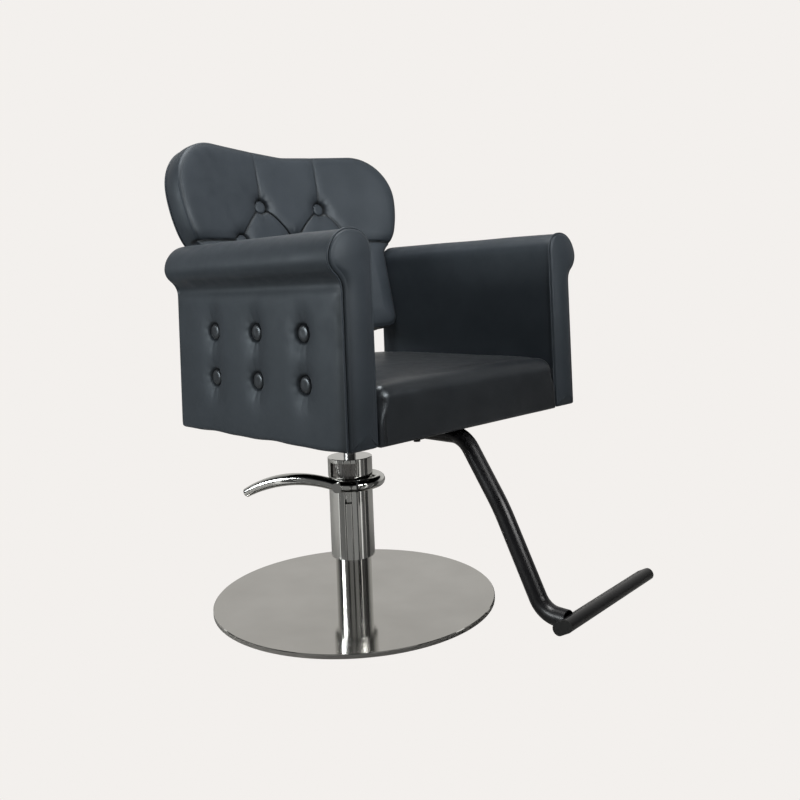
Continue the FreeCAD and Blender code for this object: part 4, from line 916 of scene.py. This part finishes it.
def seat_shape(points):
    """Crown, front roll and creases of the seat."""
    x, y, z = points.T
    half = seat_high.x
    deep = seat_high.y - seat_low.y
    across = np.clip(np.abs(x) / half, 0, 1)
    along = np.clip((y - seat_low.y) / deep, 0, 1)
    top = smooth_step(z, seat_high.z - 22 * MM, seat_high.z - 1 * MM)
    crown = 10 * MM * (1 - across ** 4) * (1 - np.abs(2 * along - 1) ** 5)
    fold_line = seat_low.y + 30 * MM + 8 * MM * np.sin(x * 9)
    crease = 1.8 * MM * np.exp(-((y - fold_line) / (8 * MM)) ** 2)
    crease *= 0.6 + 0.4 * np.sin(x * 23 + 1)
    lift = top * (crown - crease + 0.5 * MM * waves(x, y, 5, 0.18))
    front = smooth_step(seat_low.y + 6 * MM - y, 0, 5 * MM)
    swell = 3.0 * MM * np.sin(np.clip((z - seat_low.z) / (seat_high.z - seat_low.z), 0, 1) * math.pi)
    swell += 0.7 * MM * waves(x, z, 9, 0.15)
    push = front * swell * (1 - across ** 8)
    moved = points.copy()
    moved[:, 2] += lift
    moved[:, 1] -= push
    return moved


def seat_painted_shade(places):
    """Painted shade of seam grooves down the seat's front corners."""
    x, y, z = places.T
    front = 1 - smooth_step(y, seat_low.y + 6 * MM, seat_low.y + 14 * MM)
    below = 1 - smooth_step(z, seat_high.z - 20 * MM, seat_high.z - 8 * MM)
    seam = np.abs(x) - (seat_high.x - SEAT_SEAM)
    # painted shade along each front corner seam
    return front * below * np.exp(-(seam / (2.0 * MM)) ** 2)


def make_seat():
    points, faces = rounded_block(seat_low, seat_high, 24 * MM, 4 * MM, 3.4 * MM)
    mesh = bpy.data.meshes.new("seat")
    mesh.from_pydata(seat_shape(points).tolist(), [], faces.tolist())
    mesh = mark_painted_shade(cleaned(mesh), seat_painted_shade)
    seat = keep("seat_upholstery", mesh, painted_shade_vinyl, replaces=("seat_cushion",))


# ---------------------------------------------------------------- stitches


STITCH_PITCH = 4.6 * MM
STITCH_LENGTH = 3.4 * MM
THREAD_RADIUS = 0.38 * MM


def stitch_tree():
    """Rows of short stitches along a line, with named sizes."""
    tree = bpy.data.node_groups.new("stitch_row", "GeometryNodeTree")
    face = tree.interface
    face.new_socket("Line", in_out="INPUT", socket_type="NodeSocketGeometry")
    pitch = face.new_socket("Pitch", in_out="INPUT", socket_type="NodeSocketFloat")
    length = face.new_socket("Stitch Length", in_out="INPUT", socket_type="NodeSocketFloat")
    girth = face.new_socket("Thread Radius", in_out="INPUT", socket_type="NodeSocketFloat")
    face.new_socket("Stitches", in_out="OUTPUT", socket_type="NodeSocketGeometry")
    add = tree.nodes.new
    link = tree.links.new
    start = add("NodeGroupInput")
    end = add("NodeGroupOutput")
    spaced = add("GeometryNodeResampleCurve")
    spaced.mode = "LENGTH"
    link(start.outputs["Line"], spaced.inputs["Curve"])
    link(start.outputs["Pitch"], spaced.inputs["Length"])
    bead = add("GeometryNodeMeshUVSphere")
    bead.inputs["Segments"].default_value = 8
    bead.inputs["Rings"].default_value = 6
    bead.inputs["Radius"].default_value = 1.0
    shape = add("ShaderNodeCombineXYZ")
    half = add("ShaderNodeMath")
    half.operation = "MULTIPLY"
    half.inputs[1].default_value = 0.5
    link(start.outputs["Stitch Length"], half.inputs[0])
    link(start.outputs["Thread Radius"], shape.inputs["X"])
    link(start.outputs["Thread Radius"], shape.inputs["Y"])
    link(half.outputs[0], shape.inputs["Z"])
    tangent = add("GeometryNodeInputTangent")
    turn = add("FunctionNodeAlignRotationToVector")
    turn.axis = "Z"
    link(tangent.outputs["Tangent"], turn.inputs["Vector"])
    put = add("GeometryNodeInstanceOnPoints")
    link(spaced.outputs["Curve"], put.inputs["Points"])
    link(bead.outputs["Mesh"], put.inputs["Instance"])
    link(turn.outputs["Rotation"], put.inputs["Rotation"])
    link(shape.outputs["Vector"], put.inputs["Scale"])
    real = add("GeometryNodeRealizeInstances")
    link(put.outputs["Instances"], real.inputs["Geometry"])
    dress = add("GeometryNodeSetMaterial")
    dress.inputs["Material"].default_value = thread
    link(real.outputs["Geometry"], dress.inputs["Geometry"])
    link(dress.outputs["Geometry"], end.inputs["Stitches"])
    return tree, {"pitch": pitch.identifier, "length": length.identifier,
                  "girth": girth.identifier}


def sew(name, lines, body=CHAIR):
    """Turn lines of points into one piece of stitches."""
    tree, sockets = stitch_tree()
    curve = bpy.data.curves.new(name + "_lines", "CURVE")
    curve.dimensions = "3D"
    for line in lines:
        spline = curve.splines.new("POLY")
        spline.points.add(len(line) - 1)
        for point, place in zip(spline.points, line):
            point.co = (*place, 1)
    holder = bpy.data.objects.new(name + "_lines", curve)
    bpy.context.scene.collection.objects.link(holder)
    sewing = holder.modifiers.new("sewing", "NODES")
    sewing.node_group = tree
    sewing[sockets["pitch"]] = STITCH_PITCH
    sewing[sockets["length"]] = STITCH_LENGTH
    sewing[sockets["girth"]] = THREAD_RADIUS
    bpy.context.view_layer.update()
    evaluated = holder.evaluated_get(bpy.context.evaluated_depsgraph_get())
    mesh = bpy.data.meshes.new_from_object(evaluated)
    mesh.name = name
    bpy.data.objects.remove(holder)
    return keep(name, mesh, thread, body)


def make_stitches():
    lines = []
    front = seat_low.y - 1.0 * MM
    for side in (-1, 1):
        for offset in (SEAT_SEAM + 3.2 * MM, SEAT_SEAM - 3.2 * MM):
            x = (seat_high.x - offset) * side
            lines.append([(x, front, z) for z in np.linspace(seat_low.z + 8 * MM,
                                                            seat_high.z - 22 * MM, 12)])
    sew("seat_corner_stitches", lines)
    loop = back_outline(420)
    inner = loop - outward(loop) * 5 * MM
    ring = on_back(inner[:, 0], np.full(len(loop), COVER_DEPTH + 4.0 * MM), inner[:, 1])
    sew("back_cover_stitches", [np.vstack([ring, ring[:1]])])


# ---------------------------------------------------------------- studio


BACKDROP = (0.896, 0.871, 0.847, 1)
FLOOR_REACH = 30


def make_floor():
    """Plain pale floor, pale to the eye and mid grey to the light that it returns."""
    made, n = material("studio_floor")
    ray = n.add("ShaderNodeLightPath")
    pale = n.add("ShaderNodeEmission")
    pale.inputs["Color"].default_value = BACKDROP
    matte = n.add("ShaderNodeBsdfDiffuse")
    matte.inputs["Color"].default_value = (0.30, 0.295, 0.285, 1)
    mix = n.add("ShaderNodeMixShader")
    n.link(ray.outputs["Is Camera Ray"], mix.inputs["Fac"])
    n.link(matte.outputs[0], mix.inputs[1])
    n.link(pale.outputs[0], mix.inputs[2])
    out = n.add("ShaderNodeOutputMaterial")
    n.link(mix.outputs[0], out.inputs["Surface"])
    mesh = bpy.data.meshes.new("floor")
    far = FLOOR_REACH
    mesh.from_pydata([(-far, -far, 0), (far, -far, 0), (far, far, 0), (-far, far, 0)], [],
                     [(0, 1, 2, 3)])
    mesh.materials.append(made)
    floor = bpy.data.objects.new("floor", mesh)
    bpy.context.scene.collection.objects.link(floor)


BACKDROP_SIDE = (0.70, 0.70, 0.14)


def make_world():
    """Pale backdrop to the eye, a dim room to the light and the reflections."""
    world = bpy.data.worlds.new("studio")
    world.use_nodes = True
    n = Nodes(world.node_tree)
    world.node_tree.nodes.clear()
    ray = n.add("ShaderNodeLightPath")
    seen = n.add("ShaderNodeBackground")
    seen.inputs["Color"].default_value = BACKDROP
    room = n.add("ShaderNodeBackground")
    place = n.add("ShaderNodeTexCoord")
    facing = n.add("ShaderNodeVectorMath", operation="DOT_PRODUCT")
    facing.inputs[1].default_value = BACKDROP_SIDE
    n.link(place.outputs["Generated"], facing.inputs[0])
    spread = n.ramp(facing.outputs["Value"], 0, 1, -0.3, 0.75)
    shade = n.tints(spread, ((0.0, (0.035, 0.035, 0.037)), (0.45, (0.10, 0.10, 0.10)),
                             (1.0, (0.60, 0.59, 0.57))))
    n.link(shade, room.inputs["Color"])
    mix = n.add("ShaderNodeMixShader")
    n.link(ray.outputs["Is Camera Ray"], mix.inputs["Fac"])
    n.link(room.outputs[0], mix.inputs[1])
    n.link(seen.outputs[0], mix.inputs[2])
    out = n.add("ShaderNodeOutputWorld")
    n.link(mix.outputs[0], out.inputs["Surface"])
    bpy.context.scene.world = world


def soft_light(name, place, target, width, height, power, spread=180, tint=(1, 0.995, 0.99)):
    lamp = bpy.data.lights.new(name, "AREA")
    lamp.shape = "RECTANGLE"
    lamp.size = width
    lamp.size_y = height
    lamp.energy = power
    lamp.color = tint
    lamp.spread = math.radians(spread)
    held = bpy.data.objects.new(name, lamp)
    held.location = place
    held.rotation_mode = "QUATERNION"
    held.rotation_quaternion = (Vector(target) - Vector(place)).to_track_quat("-Z", "Y")
    held.visible_camera = False
    bpy.context.scene.collection.objects.link(held)


def make_lights():
    soft_light("key_softbox", (-2.05, 0.62, 0.88), (-0.3, -0.05, 0.64), 1.0, 0.5, 34,
               tint=(0.94, 0.98, 1))
    soft_light("front_softbox", (-0.1, -2.0, 1.45), (-0.05, 0.15, 0.88), 1.2, 0.8, 9.2, 58)
    soft_light("top_softbox", (-0.25, -0.1, 2.7), (-0.05, -0.05, 0.5), 1.1, 1.1, 62)


CARD_DISTANCE = 0.315
CARD_HEIGHT = 0.34


def reflector(name, heading, width, shade):
    """Upright card beside the base that only the polished metal sees."""
    made, n = material(name)
    glow = n.add("ShaderNodeEmission")
    glow.inputs["Color"].default_value = (shade, shade, shade * 0.98, 1)
    out = n.add("ShaderNodeOutputMaterial")
    n.link(glow.outputs[0], out.inputs["Surface"])
    turns = [math.radians(heading + width * share) for share in (-0.5, 0.5)]
    foot = [(CARD_DISTANCE * math.cos(turn), CARD_DISTANCE * math.sin(turn)) for turn in turns]
    corners = [(*foot[0], 0.002), (*foot[1], 0.002), (*foot[1], CARD_HEIGHT),
               (*foot[0], CARD_HEIGHT)]
    mesh = bpy.data.meshes.new(name)
    mesh.from_pydata(corners, [], [(0, 1, 2, 3)])
    mesh.materials.append(made)
    card = bpy.data.objects.new(name, mesh)
    bpy.context.scene.collection.objects.link(card)
    card.visible_camera = False
    card.visible_diffuse = False
    card.visible_shadow = False


# name, compass heading and width in degrees, brightness
CARDS = (
    ("card_far_left", 178, 12, 0.34),
    ("card_left_dark", 167, 6, 0.08),
    ("card_left_line", 162, 2.5, 1.0),
    ("card_left_grey", -178, 22, 0.16),
    ("card_middle_dark", -162, 5, 0.05),
    ("card_middle", -146, 22, 0.22),
    ("card_middle_line", -130, 4, 0.05),
    ("card_right", -116, 20, 0.26),
    ("card_right_dark", -103, 6, 0.05),
    ("card_right_line", -84, 5, 1.0),
    ("card_right_grey", -70, 14, 0.10),
    ("card_far_right", -48, 20, 0.04),
)


def make_reflectors():
    for name, heading, width, shade in CARDS:
        reflector(name, heading, width, shade)


def make_camera():
    lens = bpy.data.cameras.new("camera")
    lens.sensor_width = 36
    lens.lens = 37.68
    lens.shift_x = 0.0125
    lens.shift_y = -0.152
    camera = bpy.data.objects.new("camera", lens)
    camera.location = (-1.1838, -1.3394, 0.6608)
    heading = math.radians(-44.70)
    pitch = math.radians(-0.44)
    roll = math.radians(-2.27)
    turn = (Matrix.Rotation(heading, 4, "Z") @ Matrix.Rotation(math.pi / 2 - pitch, 4, "X")
            @ Matrix.Rotation(roll, 4, "Z"))
    camera.rotation_mode = "QUATERNION"
    camera.rotation_quaternion = turn.to_quaternion()
    bpy.context.scene.collection.objects.link(camera)
    bpy.context.scene.camera = camera


make_camera()
make_world()
make_floor()
make_lights()
make_reflectors()
dress_frame()
make_arms()
make_back()
make_seat()
make_stitches()
bpy.context.scene.view_settings.view_transform = "Standard"
bpy.context.view_layer.update()
